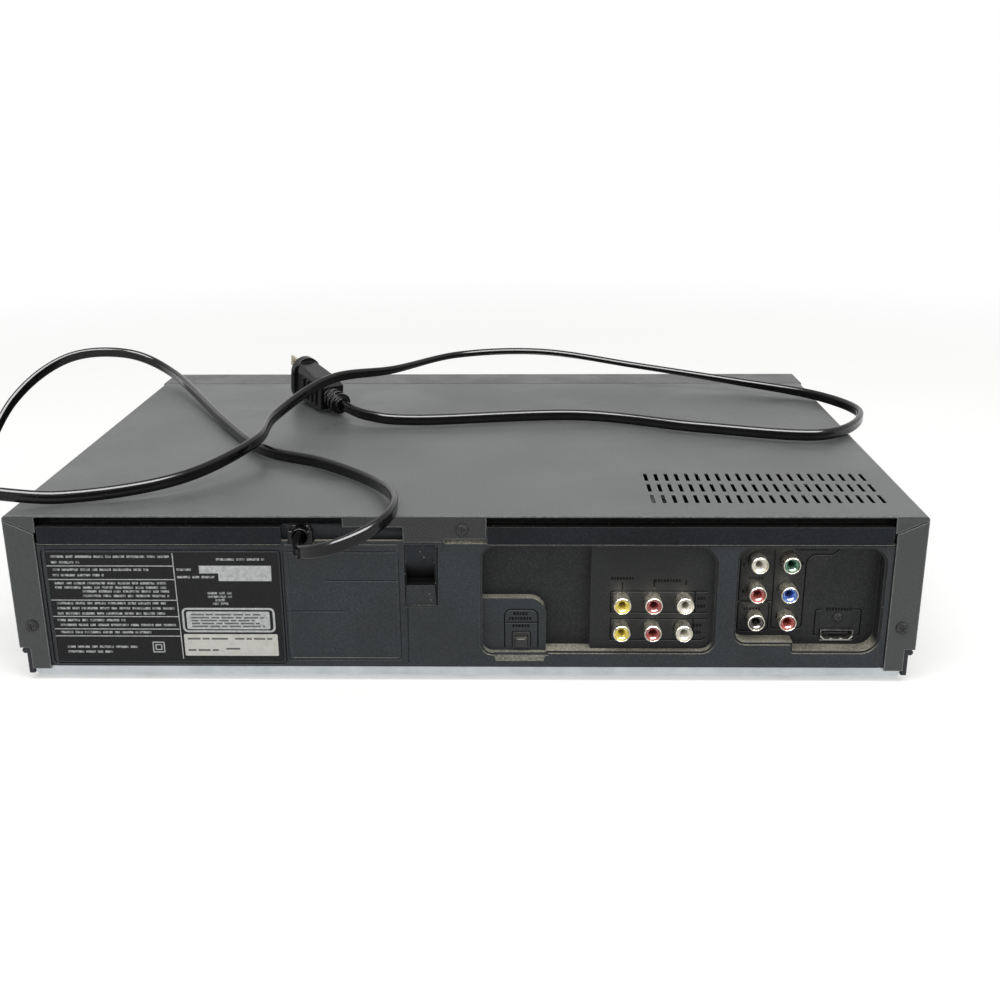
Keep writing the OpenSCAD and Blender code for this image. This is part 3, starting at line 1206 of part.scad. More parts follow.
module traverse() color("#777b7e") loader_place() {
    w = rod_x + 4;
    difference() {
        translate([0, 0, hinge_z - 1]) linear_extrude(traverse_t)
            tile(-traverse_hw, traverse_y0, traverse_hw, hinge_y - 6, [6, 6, 0, 0]);
        span(-w, w, rod_y0 + 2, rod_y1 - 2, hinge_z - 2, hinge_z + 4);
        rod_z(hinge_z - 2, 6, 0, disc_y, 3);
        for (x = [-30, 30]) rod_z(hinge_z - 2, 6, x, disc_y - 14, 4);
    }
    // guide rods in their end lugs
    both() {
        rod_y(rod_y0 - 3, rod_y1 - rod_y0 + 6, rod_x, rod_z, rod_r);
        for (y = [rod_y0 - 4, rod_y1]) span(rod_x - 3, rod_x + 3, y, y + 4, hinge_z, rod_z + 2.3);
        // arms and pins at the rear hinge
        span(traverse_hw - 8, traverse_hw, hinge_y - 10, hinge_y + 4, hinge_z - 3, hinge_z + 3);
        rod_x(traverse_hw - 1, 10, hinge_y, hinge_z, 2.5);
    }
    // spindle motor under the plate
    rod_z(hinge_z - 7, 6.1, 0, disc_y, 13.5);
    rod_z(hinge_z - 2, 8, 0, disc_y, 1.2);
}

module pickup() color("#3f4246") loader_place() difference() {
    union() {
        span(-17, 17, pickup_y0, pickup_y0 + pickup_l, hinge_z - 0.6, rod_z + 2);
        for (x = [-rod_x - 3, rod_x - 3]) span(x, x + 6, pickup_y0 + 4, pickup_y0 + 16, rod_z - 2.6, rod_z + 2.4);
        both() span(16, rod_x - 2, pickup_y0 + 4, pickup_y0 + 16, rod_z - 1, rod_z + 1.6);
        span(-9, 9, pickup_y0 + 2, pickup_y0 + 18, rod_z + 1, rod_z + 5);
        rod_z(rod_z + 4, 2, 0, pickup_y0 + 9, 3.4);
    }
    both() rod_y(pickup_y0, 20, rod_x, rod_z, rod_r + run);
    rod_z(rod_z + 5.4, 2, 0, pickup_y0 + 9, 2.4);
}

module turntable() color("#26282b") loader_place() translate([0, disc_y, 0]) difference() {
    union() {
        translate([0, 0, turntable_z - 2]) cylinder(r = 15, h = 2);
        translate([0, 0, hinge_z + 3]) cylinder(r = 5, h = turntable_z - hinge_z - 4.5);
        translate([0, 0, turntable_z - 0.1]) cylinder(r1 = 7.4, r2 = 6.4, h = 4);
    }
    translate([0, 0, hinge_z]) cylinder(r = 1.2 + run, h = 6.2);
}

module clamper() color("#c9cacb") loader_place() translate([0, disc_y, bridge_z]) difference() {
    union() {
        translate([0, 0, 2]) cylinder(r = 17, h = 1.6);
        translate([0, 0, -2]) cylinder(r = 13, h = 4.1);
    }
    translate([0, 0, -3]) cylinder(r = 8, h = 3);
}

// ---- mains cord ----

// bush with a tapered nose, holding the cord in the rear panel's notch
module cord_bush() color("#161616") difference() {
    union() {
        span(bush_at[0] - 4.3, bush_at[0] + 4.3, bush_y0 + 4, notch_y + 0.5, band_z0 + seat, bush_at[1] + 4.3);
        // flanges inside and outside the notch's wall
        span(bush_at[0] - 6.2, bush_at[0] + 6.2, brow_y - panel_t - 2 - seat, brow_y - panel_t - seat,
            band_z0 + seat, bush_at[1] + 4.3);
        span(bush_at[0] - 5.6, bush_at[0] + 5.6, notch_y + seat, notch_y + 4, band_z0 + seat, bush_at[1] + 2.4);
        rod_y(bush_y0, 6, bush_at[0], bush_at[1], 4.2);
        translate([bush_at[0], notch_y, bush_at[1]]) rotate([-90, 0, 0])
            cylinder(r1 = 4.8, r2 = 4.1, h = bush_y1 - notch_y);
    }
    span(bush_at[0] - 8, bush_at[0] + 8, bush_y0 - 1, bush_y1 + 1, band_z0 - 3, band_z0 + seat);
    rod_y(bush_y0 - 1, bush_y1 - bush_y0 + 2, bush_at[0], bush_at[1], cord_r + bush_gap);
    translate([bush_at[0], bush_y1 - 2, bush_at[1]]) rotate([-90, 0, 0])
        cylinder(r1 = cord_r + bush_gap, r2 = cord_r + 0.4, h = 2.1);
}

function unit(v) = v / norm(v);
function curve(a, b, c, d, t) = 0.5 * (2 * b + (c - a) * t + (2 * a - 5 * b + 4 * c - d) * t * t
    + (3 * b - a - 3 * c + d) * t * t * t);
function square_to(v, t) = unit(v - (v * t) * t);

module power_cord() color("#141414") {
    n = len(cord_route);
    last = (n - 1) * cord_steps;
    path = [for (j = [0:last]) let (i = min(floor(j / cord_steps), n - 2), t = j / cord_steps - i)
        curve(cord_route[max(i - 1, 0)], cord_route[i], cord_route[i + 1], cord_route[min(i + 2, n - 1)], t)];
    way = [for (j = [0:last]) unit(path[min(j + 1, last)] - path[max(j - 1, 0)])];
    up = [for (j = 0, u = square_to([0, 0, 1], way[0]); j <= last; j = j + 1,
        u = square_to(u, way[min(j, last)])) u];
    points = [for (j = [0:last]) for (k = [0:cord_sides - 1]) let (a = 360 * k / cord_sides)
        path[j] + cord_r * (cos(a) * up[j] + sin(a) * cross(way[j], up[j]))];
    sides = [for (j = [0:last - 1]) for (k = [0:cord_sides - 1]) let (m = (k + 1) % cord_sides)
        [j * cord_sides + k, j * cord_sides + m, (j + 1) * cord_sides + m, (j + 1) * cord_sides + k]];
    ends = [[for (k = [cord_sides - 1:-1:0]) k], [for (k = [0:cord_sides - 1]) last * cord_sides + k]];
    polyhedron(points, concat(sides, ends));
}

module plug_place() translate(plug_back) rotate([0, -plug_pitch, plug_yaw]) children();

// moulded two-blade plug: neck with strain ribs, waisted grip and a flange behind the blades
module plug_body() color("#141414") plug_place() difference() {
    union() {
        rotate([0, 90, 0]) cylinder(r1 = 4.6, r2 = 6, h = 14);
        for (i = [0:2]) translate([2.5 + 4 * i, 0, 0]) rotate([0, 90, 0]) cylinder(r = 6.4, h = 1.8);
        translate([14 - eps, 0, 0]) intersection() {
            rotate([90, 0, 90]) linear_extrude(plug_l - 18) slot([0, -6], [0, 6], 7.5);
            translate([0, 20, 0]) rotate([90, 0, 0]) linear_extrude(40)
                polygon([[-1, -7], [0, -7], [10, -10], [plug_l - 17, -12], [plug_l - 17, 12], [10, 10], [0, 7], [-1, 7]]);
        }
        translate([plug_l - 4.2, 0, 0]) rotate([90, 0, 90]) linear_extrude(4.2) slot([0, -5.4], [0, 5.4], 9);
        for (i = [0:3]) translate([20 + 5.4 * i, -8.3, -6]) cube([2.2, 16.6, 12]);
    }
    translate([-1, 0, 0]) rotate([0, 90, 0]) cylinder(r = cord_r + 0.1, h = 2);
    for (s = [-1, 1]) translate([plug_l - 9, -0.9, s * 6.35 - 3.3]) cube([12, 1.8, 6.6]);
}

module plug_blades() color("#c8b27a") plug_place() for (s = [-1, 1])
    translate([plug_l - 9, -0.75, s * 6.35 - 3.15]) difference() {
        cube([9 + 17, 1.5, 6.3]);
        translate([9 + 12.5, 2, 3.15]) rotate([90, 0, 0]) cylinder(r = 1.5, h = 3);
    }

// ---- the model ----

top_cover();
bottom_plate();
feet();
main_frame();
rear_panel();
screws();
front_fascia();
display_window();
cassette_door();
power_button();
open_close_button();
deck_select_button();
dvd_play_button();
dvd_stop_button();
vcr_eject_button();
vcr_rewind_button();
vcr_play_button();
vcr_forward_button();
vcr_stop_button();
front_board();
main_board();
power_board();
power_transformer();
ribbon_cables();
jack_blocks();
jack_sleeves();
jack_liners();
hdmi_socket();
optical_socket();
optical_shutter();
deck_plate();
lower_drum();
head_drum();
supply_reel();
take_up_reel();
capstan();
capstan_motor();
pinch_arm();
pinch_roller();
supply_guide();
take_up_guide();
cassette_holder();
cam_gear();
loading_pinion();
loading_motor();
loader_frame();
disc_tray();
tray_front();
tray_gear();
tray_belt();
motor_pulley();
tray_motor();
traverse();
pickup();
turntable();
clamper();
cord_bush();
power_cord();
plug_body();
plug_blades();
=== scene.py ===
from math import cos, pi, radians, sin

import bmesh
import bpy
from mathutils import Matrix, Vector


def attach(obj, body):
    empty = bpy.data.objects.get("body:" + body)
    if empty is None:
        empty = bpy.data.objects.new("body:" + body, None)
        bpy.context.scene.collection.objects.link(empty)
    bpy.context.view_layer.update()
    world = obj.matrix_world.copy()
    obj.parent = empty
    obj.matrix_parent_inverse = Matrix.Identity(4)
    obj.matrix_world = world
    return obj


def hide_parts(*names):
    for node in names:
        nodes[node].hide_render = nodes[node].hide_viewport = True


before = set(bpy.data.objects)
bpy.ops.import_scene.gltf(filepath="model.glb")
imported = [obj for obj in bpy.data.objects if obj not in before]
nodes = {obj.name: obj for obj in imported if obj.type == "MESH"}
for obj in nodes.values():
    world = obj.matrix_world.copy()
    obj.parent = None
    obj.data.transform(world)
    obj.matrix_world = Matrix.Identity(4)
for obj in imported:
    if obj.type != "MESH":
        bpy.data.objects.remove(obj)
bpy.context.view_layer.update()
mm = 0.001
print("frame loaded,", len(nodes), "CAD parts")


def addObject(name, data):
    made = bpy.data.objects.new(name, data)
    bpy.context.scene.collection.objects.link(made)
    return made


# position, lens, sensor and nearest distance in mm, angles in degrees
cameraView = dict(
    position=(-27.2, 674.7, 268.9), pitch=18.617, yaw=1.077, roll=0.313, lens=43.19, sensor=36, nearest=10)


def placeCamera(look):
    pitch, yaw, roll = (radians(look[k]) for k in ("pitch", "yaw", "roll"))
    forward = Vector((sin(yaw) * cos(pitch), -cos(yaw) * cos(pitch), -sin(pitch)))
    right = forward.cross(Vector((0, 0, 1))).normalized()
    down = forward.cross(right)
    right, down = cos(roll) * right + sin(roll) * down, cos(roll) * down - sin(roll) * right
    camera = addObject("Camera", bpy.data.cameras.new("Camera"))
    turned = Matrix((right, -down, -forward)).transposed().to_4x4()
    camera.matrix_world = Matrix.Translation(Vector(look["position"]) * mm) @ turned
    camera.data.sensor_width = look["sensor"]
    camera.data.lens = look["lens"]
    camera.data.clip_start = look["nearest"] * mm
    bpy.context.scene.camera = camera


placeCamera(cameraView)
print("camera placed")


def newPiece(name, verts, faces, body="housing", slot="panel_plastic", smooth=False):
    mesh = bpy.data.meshes.new(name)
    mesh.from_pydata([tuple(v) for v in verts], [], faces)
    bm = bmesh.new()
    bm.from_mesh(mesh)
    bmesh.ops.recalc_face_normals(bm, faces=bm.faces)
    bm.to_mesh(mesh)
    bm.free()
    for face in mesh.polygons:
        face.use_smooth = smooth
    piece = addObject(name, mesh)
    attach(piece, body)
    return piece


# outlines and lines are points in x and z, in mm
def rectangle(x0, z0, x1, z1):
    return [(x0, z0), (x1, z0), (x1, z1), (x0, z1)]


# points round a corner, from the angle where it starts to where it ends
def turn(cx, cz, radius, start, end, steps=5):
    angles = (radians(start + (end - start) * k / steps) for k in range(steps + 1))
    return [(cx + radius * cos(a), cz + radius * sin(a)) for a in angles]


def roundedOutline(x0, z0, x1, z1, radius):
    corners = ((x1 - radius, z1 - radius, 0), (x0 + radius, z1 - radius, 90),
               (x0 + radius, z0 + radius, 180), (x1 - radius, z0 + radius, 270))
    return [point for cx, cz, start in corners for point in turn(cx, cz, radius, start, start + 90)]


# a line whose last point is its first one is a closed ring
def ring(points):
    return points + points[:1]


# faces between a ring of points and the next one, which follows it in the list
def ringFaces(start, count):
    return [(start + k, start + (k + 1) % count, start + count + (k + 1) % count, start + count + k)
            for k in range(count)]


# flat shapes, raised from the plane y = base by rise
def plates(name, outlines, base, rise):
    verts, faces = [], []
    for outline in outlines:
        start, count = len(verts), len(outline)
        verts += [(x * mm, y * mm, z * mm) for y in (base + rise, base) for x, z in outline]
        faces.append(tuple(range(start, start + count)))
        faces += ringFaces(start, count)
    newPiece(name, verts, faces)


# a thin raised band along a line, with mitred corners; shortest keeps the point of a sharp corner short
def addBand(verts, faces, line, width, base, rise, shortest=0.3):
    closed = line[0] == line[-1]
    if closed:
        line = line[:-1]
    count = len(line)
    start = len(verts)
    ways = [Vector((u - x, w - z)).normalized() for (x, z), (u, w) in zip(line, line[1:] + line[:1])]
    for i, (x, z) in enumerate(line):
        near = [ways[k] for k in (i - 1, i) if closed or 0 <= k < count - 1]
        way = sum(near, Vector((0, 0))).normalized()
        side = Vector((-way.y, way.x))
        spread = width / 2 / max(shortest, side.dot(Vector((-near[0].y, near[0].x))))
        left, right = (x + side.x * spread, z + side.y * spread), (x - side.x * spread, z - side.y * spread)
        for (u, w), y in ((left, base), (left, base + rise), (right, base + rise), (right, base)):
            verts.append((u * mm, y * mm, w * mm))
    for i in range(count if closed else count - 1):
        p, q = start + 4 * i, start + 4 * ((i + 1) % count)
        faces += [(p + k, p + k + 1, q + k + 1, q + k) for k in range(3)]
    if not closed:
        for p in (start, start + 4 * (count - 1)):
            faces.append((p, p + 1, p + 2, p + 3))


def linework(name, lines, width, base, rise, **where):
    verts, faces = [], []
    for line in lines:
        addBand(verts, faces, line, width, base, rise)
    newPiece(name, verts, faces, **where)


# a flat two-core lead, in mm; its wide side stands upright where it lies loose
# tilt: points of the route where it is turned, and by how many degrees
cordLook = dict(
    width=6.6, thickness=3.5, dip=0.12, steps=12, tilt={25: 0, 28: 62, 30: 68, 33: 0},
    exit=(76, 155.3, 74.8), length=1930)
cordRoute = [
    (76, 136, 74.8), (76, 150, 74.8), (75.7, 164, 75.1), (69.6, 180, 77.6), (53.5, 187.6, 83.4), (38.2, 181, 89),
    (31.4, 164.5, 91.5), (33.5, 140, 91), (48, 110, 89), (76, 80, 88.7), (112, 55, 88.7), (144, 2, 88.7),
    (206, -112, 93), (244, -132, 103), (286, -132, 99), (318, -112, 74), (333, -74, 32), (337, -28, 7.4),
    (335, 22, 7.4), (325, 74, 32), (294, 120, 68), (246, 137, 91), (192, 136, 88.7), (142, 114, 91),
    (114, 66, 96), (112, 16, 98), (88, -32, 107.5), (54, -70, 105), (14, -112, 106), (-42, -120, 106),
    (-104, -106, 99.5), (-166, -93, 92), (-214, -66, 88.6), (-228, -19, 88.6), (-195, 25, 88.6), (-130, 9, 88.6),
    (-60, -19, 88.6), (32, -7, 88.8), (63, -12, 90.2), (80.8, -28.4, 92.4)]


def smoothLine(points, steps):
    points = [Vector(p) for p in points]
    last = len(points) - 1
    line = []
    for i in range(last):
        a, b, c, d = points[max(i - 1, 0)], points[i], points[i + 1], points[min(i + 2, last)]
        for k in range(steps):
            t = k / steps
            line.append(0.5 * (2 * b + (c - a) * t + (2 * a - 5 * b + 4 * c - d) * t ** 2
                               + (3 * b - a - 3 * c + d) * t ** 3))
    return line + [points[last]]


# flat sides with a slight dip between the cores, and round edges
def cordProfile(look):
    half, thick = look["width"] / 2, look["thickness"] / 2
    flat = half - thick
    dipped = ((0, 1), (0.4, 0.6), (0.75, 0.1))
    upper = [(flat * share, thick - look["dip"] * deep) for share, deep in dipped]
    upper += [(flat + thick * sin(a), thick * cos(a)) for a in map(radians, range(0, 90, 15))]
    right = upper + [(half, 0)] + [(w, -h) for w, h in reversed(upper)]
    inner = upper[1:]
    return right + [(-w, -h) for w, h in inner] + [(-half, 0)] + [(-w, h) for w, h in reversed(inner)]


# angle at one point of the route, eased between the given ones
def tiltAt(look, place):
    marks = sorted(look["tilt"])
    if place <= marks[0] or place >= marks[-1]:
        return 0.0
    start = max(m for m in marks if m <= place)
    end = min(m for m in marks if m > place)
    share = (place - start) / (end - start)
    share = share * share * (3 - 2 * share)
    return radians(look["tilt"][start] * (1 - share) + look["tilt"][end] * share)


def makeCord(look, route):
    line = smoothLine(route, look["steps"])
    profile = cordProfile(look)
    count = len(profile)
    verts, faces = [], []
    for i, point in enumerate(line):
        way = (line[min(i + 1, len(line) - 1)] - line[max(i - 1, 0)]).normalized()
        wide = (Vector((0, 0, 1)) - way * way.z).normalized()
        thin = way.cross(wide)
        turned = tiltAt(look, i / look["steps"])
        c, s = cos(turned), sin(turned)
        wide, thin = wide * c + thin * s, thin * c - wide * s
        verts += [(point + wide * w + thin * h) * mm for w, h in profile]
    for i in range(len(line) - 1):
        faces += ringFaces(i * count, count)
    faces += [tuple(range(count)), tuple(range(len(verts) - count, len(verts)))]
    cord = newPiece("mainsCord", verts, faces, slot="cord_vinyl", smooth=True)
    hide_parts("power_cord")


makeCord(cordLook, cordRoute)
print("cord made")


# a colour as a paint program shows it, from 0 to 255
def tone(*colour):
    shares = [c / 255 for c in colour]
    return tuple(c / 12.92 if c <= 0.04045 else ((c + 0.055) / 1.055) ** 2.4 for c in shares) + (1.0,)


def setSockets(tree, node, sockets):
    for key, value in sockets.items():
        if isinstance(value, bpy.types.NodeSocket):
            tree.links.new(value, node.inputs[key])
        elif value is not None:
            node.inputs[key].default_value = value


# beside: the tree that the new node joins, or a socket in it
def put(beside, kind, sockets=None, **settings):
    tree = beside.id_data
    node = tree.nodes.new("ShaderNode" + kind)
    for name, value in settings.items():
        setattr(node, name, value)
    setSockets(tree, node, sockets or {})
    return node


def use(group, where, **values):
    return put(where, "Group", dict(values, Vector=where), node_tree=group).outputs


def calc(operation, *values, clamp=False):
    beside = next(v for v in values if isinstance(v, bpy.types.NodeSocket))
    return put(beside, "Math", dict(enumerate(values)), operation=operation, use_clamp=clamp).outputs[0]


def times(first, second, clamp=False):
    return calc("MULTIPLY", first, second, clamp=clamp)


def vectorCalc(operation, *values):
    return put(values[0], "VectorMath", dict(enumerate(values)), operation=operation).outputs


def ramp(value, low, high, first=0.0, second=1.0):
    sockets = {"Value": value, "From Min": low, "From Max": high, "To Min": first, "To Max": second}
    return put(value, "MapRange", sockets, interpolation_type="SMOOTHSTEP").outputs["Result"]


def mixColours(factor, first, second):
    return put(factor, "Mix", {0: factor, 6: first, 7: second}, data_type="RGBA").outputs[2]


def noise(where, scale, detail, roughness=0.5):
    sockets = {"Vector": where, "Scale": scale, "Detail": detail, "Roughness": roughness}
    return put(where, "TexNoise", sockets).outputs["Fac"]


# turns a function into a node group that takes a place on the surface and the values that each material sets
def shaderGroup(*results, **values):
    def build(fill):
        tree = bpy.data.node_groups.new(fill.__name__, "ShaderNodeTree")
        sockets = [("INPUT", "Vector", ())] + [("INPUT", label, value) for label, value in values.items()]
        for way, label, value in sockets + [("OUTPUT", label, () if label == "Normal" else 0.0) for label in results]:
            kind = "NodeSocketVector" if isinstance(value, tuple) else "NodeSocketFloat"
            socket = tree.interface.new_socket(label, in_out=way, socket_type=kind)
            if value:
                socket.default_value = value
        given, out = tree.nodes.new("NodeGroupInput").outputs, tree.nodes.new("NodeGroupOutput")
        setSockets(tree, out, fill(given["Vector"], given))
        return tree
    return build


# cloudy value from 0 to 1
@shaderGroup("Value", Scale=40.0, Spread=0.2)
def mottle(where, given):
    cloud = noise(where, given["Scale"], 5.0, 0.62)
    low = calc("SUBTRACT", 0.5, given["Spread"])
    high = calc("ADD", 0.5, given["Spread"])
    return {"Value": ramp(cloud, low, high)}


# the fine sand-like surface of moulded plastic and powder paint
@shaderGroup("Height", Scale=2500.0)
def mouldGrain(where, given):
    sand = noise(where, given["Scale"], 2.0)
    cells = put(where, "TexVoronoi", {"Vector": where, "Scale": times(given["Scale"], 0.55)}, feature="SMOOTH_F1")
    return {"Height": calc("ADD", times(sand, 0.6), times(cells.outputs["Distance"], 0.5))}


# sizes per metre; facing: from where a surface faces up enough to where dust lies on it in full
# a speck is up to largest of its cell, and rare is the share of cells without one
dustLook = dict(cloud=38.0, fine=1600.0, cells=430.0, facing=(0.2, 0.8), largest=0.16, rare=0.8)


# dust that lies on what faces up, and single specks that cling anywhere; on the cover's top the lying film is also a
# painted sheen
@shaderGroup("Mask", Amount=0.5, Specks=0.2)
def settledDust(where, given):
    normal = put(where, "SeparateXYZ", {0: put(where, "NewGeometry").outputs["Normal"]}).outputs["Z"]
    up = ramp(normal, *dustLook["facing"])
    cloud = noise(where, dustLook["cloud"], 4.0, 0.6)
    fine = noise(where, dustLook["fine"], 2.0, 0.7)
    film = times(ramp(cloud, 0.3, 0.6, 0.6, 1.0), ramp(fine, 0.35, 0.62, 0.22, 1.0))
    lying = times(times(up, given["Amount"]), film)
    dots = put(where, "TexVoronoi", {"Vector": where, "Scale": dustLook["cells"], "Randomness": 1.0})
    chance = put(where, "SeparateColor", {0: dots.outputs["Color"]}).outputs
    near = calc("LESS_THAN", dots.outputs["Distance"], times(chance["Red"], dustLook["largest"]))
    rare = calc("GREATER_THAN", chance["Green"], dustLook["rare"])
    specks = times(times(near, rare), given["Specks"])
    return {"Mask": calc("MAXIMUM", lying, specks, clamp=True)}


# the light fleck of a grained surface, brighter on the tips of the grain
@shaderGroup("Mask", Scale=1700.0)
def grainFleck(where, given):
    tips = ramp(noise(where, given["Scale"], 3.0, 0.75), 0.42, 0.72)
    broad = ramp(noise(where, times(given["Scale"], 0.02), 3.0), 0.3, 0.65, 0.5, 1.0)
    return {"Mask": times(tips, broad)}


# long fine lines of rolled or brushed metal
@shaderGroup("Value", Stretch=(20.0, 900.0, 900.0))
def brushedLines(where, given):
    drawn = vectorCalc("MULTIPLY", where, given["Stretch"])[0]
    return {"Value": ramp(noise(drawn, 1.0, 5.0, 0.7), 0.25, 0.75)}


# rounded corners for the light to catch, and a mask of where they rub, whose lighter colour is also a painted highlight
# on the edges
@shaderGroup("Mask", "Normal", Radius=0.0005, Wear=0.5)
def rubbedEdge(where, given):
    bevel = put(where, "Bevel", {"Radius": given["Radius"]}, samples=4).outputs["Normal"]
    flat = put(where, "NewGeometry").outputs["Normal"]
    same = vectorCalc("DOT_PRODUCT", bevel, flat)["Value"]
    turned = ramp(calc("SUBTRACT", 1.0, same), 0.015, 0.12)
    worn = times(turned, ramp(noise(where, 420.0, 4.0, 0.7), 0.3, 0.7, 0.35, 1.0))
    return {"Mask": times(worn, given["Wear"], clamp=True), "Normal": bevel}


# short straight hair-thin scratches, one in some of the cells
@shaderGroup("Mask", Scale=25.0, Width=0.00007, Amount=0.3)
def hairScratches(where, given):
    cells = put(where, "TexVoronoi", {"Vector": where, "Scale": given["Scale"]}).outputs
    local = vectorCalc("SUBTRACT", where, cells["Position"])[0]
    turned = vectorCalc("SUBTRACT", cells["Color"], (0.5, 0.5, 0.5))[0]
    way = vectorCalc("NORMALIZE", turned)[0]
    off = calc("ABSOLUTE", vectorCalc("DOT_PRODUCT", local, way)["Value"])
    chance = put(where, "SeparateColor", {0: cells["Color"]}).outputs
    thin = ramp(off, 0.0, given["Width"], 1.0, 0.0)
    short = ramp(cells["Distance"], 0.1, 0.42, 1.0, 0.0)
    seen = times(times(thin, short), ramp(noise(where, 600.0, 2.0), 0.4, 0.6))
    some = calc("GREATER_THAN", chance["Blue"], 0.62)
    return {"Mask": times(times(seen, some), given["Amount"])}


print("shader groups built")


# colour, dark: the two tones that the surface wanders between; rough: its lowest and highest roughness
# patch: clouds per metre; spread: how soft they are; roughPatch, roughSpread: the same for the roughness
# grain: size per metre and depth in mm; fleck: size per metre, how much it shows and its colour
# edge: radius in mm, wear, and the colour of worn edges, which is also a painted highlight; scratches: cells per metre
# and amount; dust: lying film and specks of dust, on the cover's top also a painted sheen
# brush: stretch of the lines and how much they show; bump: strength of the grain or the brushed lines
# fade: painted shade, darker towards the bottom; height in mm up to which its colour is full, height where it ends, and
# the colour
finishDefaults = dict(
    patch=45, spread=0.22, roughPatch=2.7, roughSpread=0.25, bump=0.5, brushDepth=0.01, brushColour=(250, 250, 250),
    brushRough=0.12, scratchColour=(150, 150, 150), dustColour=(178, 170, 155), dustRough=0.4)

shaderSockets = {
    "metal": "Metallic", "specular": "Specular IOR Level", "coat": "Coat Weight", "coatRough": "Coat Roughness",
    "clear": "Transmission Weight", "ior": "IOR", "wax": "Subsurface Weight", "waxDepth": "Subsurface Scale"}


def makeFinish(name, changes):
    look = dict(finishDefaults, **changes)
    material = bpy.data.materials.new(name)
    material.use_nodes = True
    tree = material.node_tree
    where = put(tree, "TexCoord").outputs["Object"]
    cloud = use(mottle, where, Scale=look["patch"], Spread=look["spread"])["Value"]
    colour = mixColours(cloud, tone(*look["dark"]), tone(*look["colour"]))
    roughScale = look["patch"] * look["roughPatch"]
    roughCloud = use(mottle, where, Scale=roughScale, Spread=look["roughSpread"])["Value"]
    rough = ramp(roughCloud, 0.0, 1.0, *look["rough"])
    normal = height = None
    depth = look["brushDepth"]
    if "brush" in look:
        stretch, shows = look["brush"]
        height = use(brushedLines, where, Stretch=stretch)["Value"]
        colour = mixColours(times(height, shows), colour, tone(*look["brushColour"]))
        rough = calc("ADD", rough, times(height, look["brushRough"]))
    if "grain" in look:
        size, depth = look["grain"]
        height = use(mouldGrain, where, Scale=size)["Height"]
    if "fleck" in look:
        size, shows, tips = look["fleck"]
        fleck = use(grainFleck, where, Scale=size)["Mask"]
        colour = mixColours(times(fleck, shows), colour, tone(*tips))
    # worn edges in a lighter colour, which also paints a highlight on them
    if "edge" in look:
        radius, amount, worn = look["edge"]
        rubbed = use(rubbedEdge, where, Radius=radius * mm, Wear=amount)
        colour = mixColours(rubbed["Mask"], colour, tone(*worn))
        normal = rubbed["Normal"]
    if "scratches" in look:
        scale, amount = look["scratches"]
        marks = use(hairScratches, where, Scale=scale, Amount=amount)["Mask"]
        colour = mixColours(marks, colour, tone(*look["scratchColour"]))
    # painted shade, darker towards the bottom
    if "fade" in look:
        foot, top, shade = look["fade"]
        tall = put(tree, "SeparateXYZ", {0: where}).outputs["Z"]
        colour = mixColours(ramp(tall, foot * mm, top * mm, 1.0, 0.0), colour, tone(*shade))
    # dust, and on the cover's top a light film that is also a painted sheen
    if "dust" in look:
        amount, specks = look["dust"]
        dust = use(settledDust, where, Amount=amount, Specks=specks)["Mask"]
        colour = mixColours(dust, colour, tone(*look["dustColour"]))
        rough = calc("ADD", rough, times(dust, look["dustRough"]), clamp=True)
    if height is not None:
        raised = {"Height": height, "Distance": depth * mm, "Strength": look["bump"], "Normal": normal}
        normal = put(tree, "Bump", raised).outputs["Normal"]
    sockets = {socket: look[key] for key, socket in shaderSockets.items() if key in look}
    sockets.update({"Base Color": colour, "Roughness": rough, "Normal": normal})
    setSockets(tree, tree.nodes["Principled BSDF"], sockets)
    return material


finishes = {}


# gives parts one finish, or several where pick names the one for a face, from the face's centre in mm
def wear(names, pick=None, **looks):
    for finish, look in looks.items():
        if finish not in finishes:
            finishes[finish] = makeFinish(finish, look)
    order = list(looks)
    for name in [names] if isinstance(names, str) else names:
        mesh = bpy.data.objects[name].data
        mesh.materials.clear()
        for finish in order:
            mesh.materials.append(finishes[finish])
        if pick:
            for face in mesh.polygons:
                face.material_index = order.index(pick(Vector(face.center) / mm))


# the light film on the cover's top is partly dust and partly a painted sheen that makes the top lighter than the
# flanges; the light colour of its worn rear bend is also a painted highlight
coverPaint = dict(
    colour=(57, 60, 60), dark=(48, 51, 51), rough=(0.3, 0.4), patch=7, spread=0.3, grain=(5200, 0.02), bump=0.25,
    fleck=(1500, 0.2, (104, 106, 104)), dust=(0.34, 0.22), dustColour=(160, 162, 160),
    edge=(0.9, 0.9, (172, 174, 172)), scratches=(14, 0.5), scratchColour=(128, 130, 128))
tonguePaint = dict(
    coverPaint, colour=(38, 40, 40), dark=(29, 30, 30), fleck=(1300, 0.4, (90, 90, 86)), dust=(0.5, 0.5),
    specular=0.35)
tongue = dict(behind=151, side=120, below=84)


def coverFinish(at):
    onTongue = at.y > tongue["behind"] and abs(at.x) < tongue["side"] and at.z < tongue["below"]
    return "tonguePaint" if onTongue else "coverPaint"


wear("top_cover", coverFinish, coverPaint=coverPaint, tonguePaint=tonguePaint)

wear("bottom_plate", zincSheet=dict(
    colour=(186, 192, 194), dark=(170, 177, 180), rough=(0.34, 0.5), patch=70, brush=((30, 1400, 1400), 0.12),
    dust=(0.25, 0.2), edge=(0.3, 0.5, (238, 240, 241)), metal=1))

wear("main_frame", framePlastic=dict(
    colour=(33, 35, 39), dark=(26, 28, 32), rough=(0.5, 0.62), patch=30, grain=(2600, 0.05), bump=0.35,
    fleck=(1500, 0.35, (74, 77, 82)), dust=(0.5, 0.3), dustColour=(166, 162, 146), edge=(0.4, 0.35, (96, 98, 102)),
    specular=0.4))

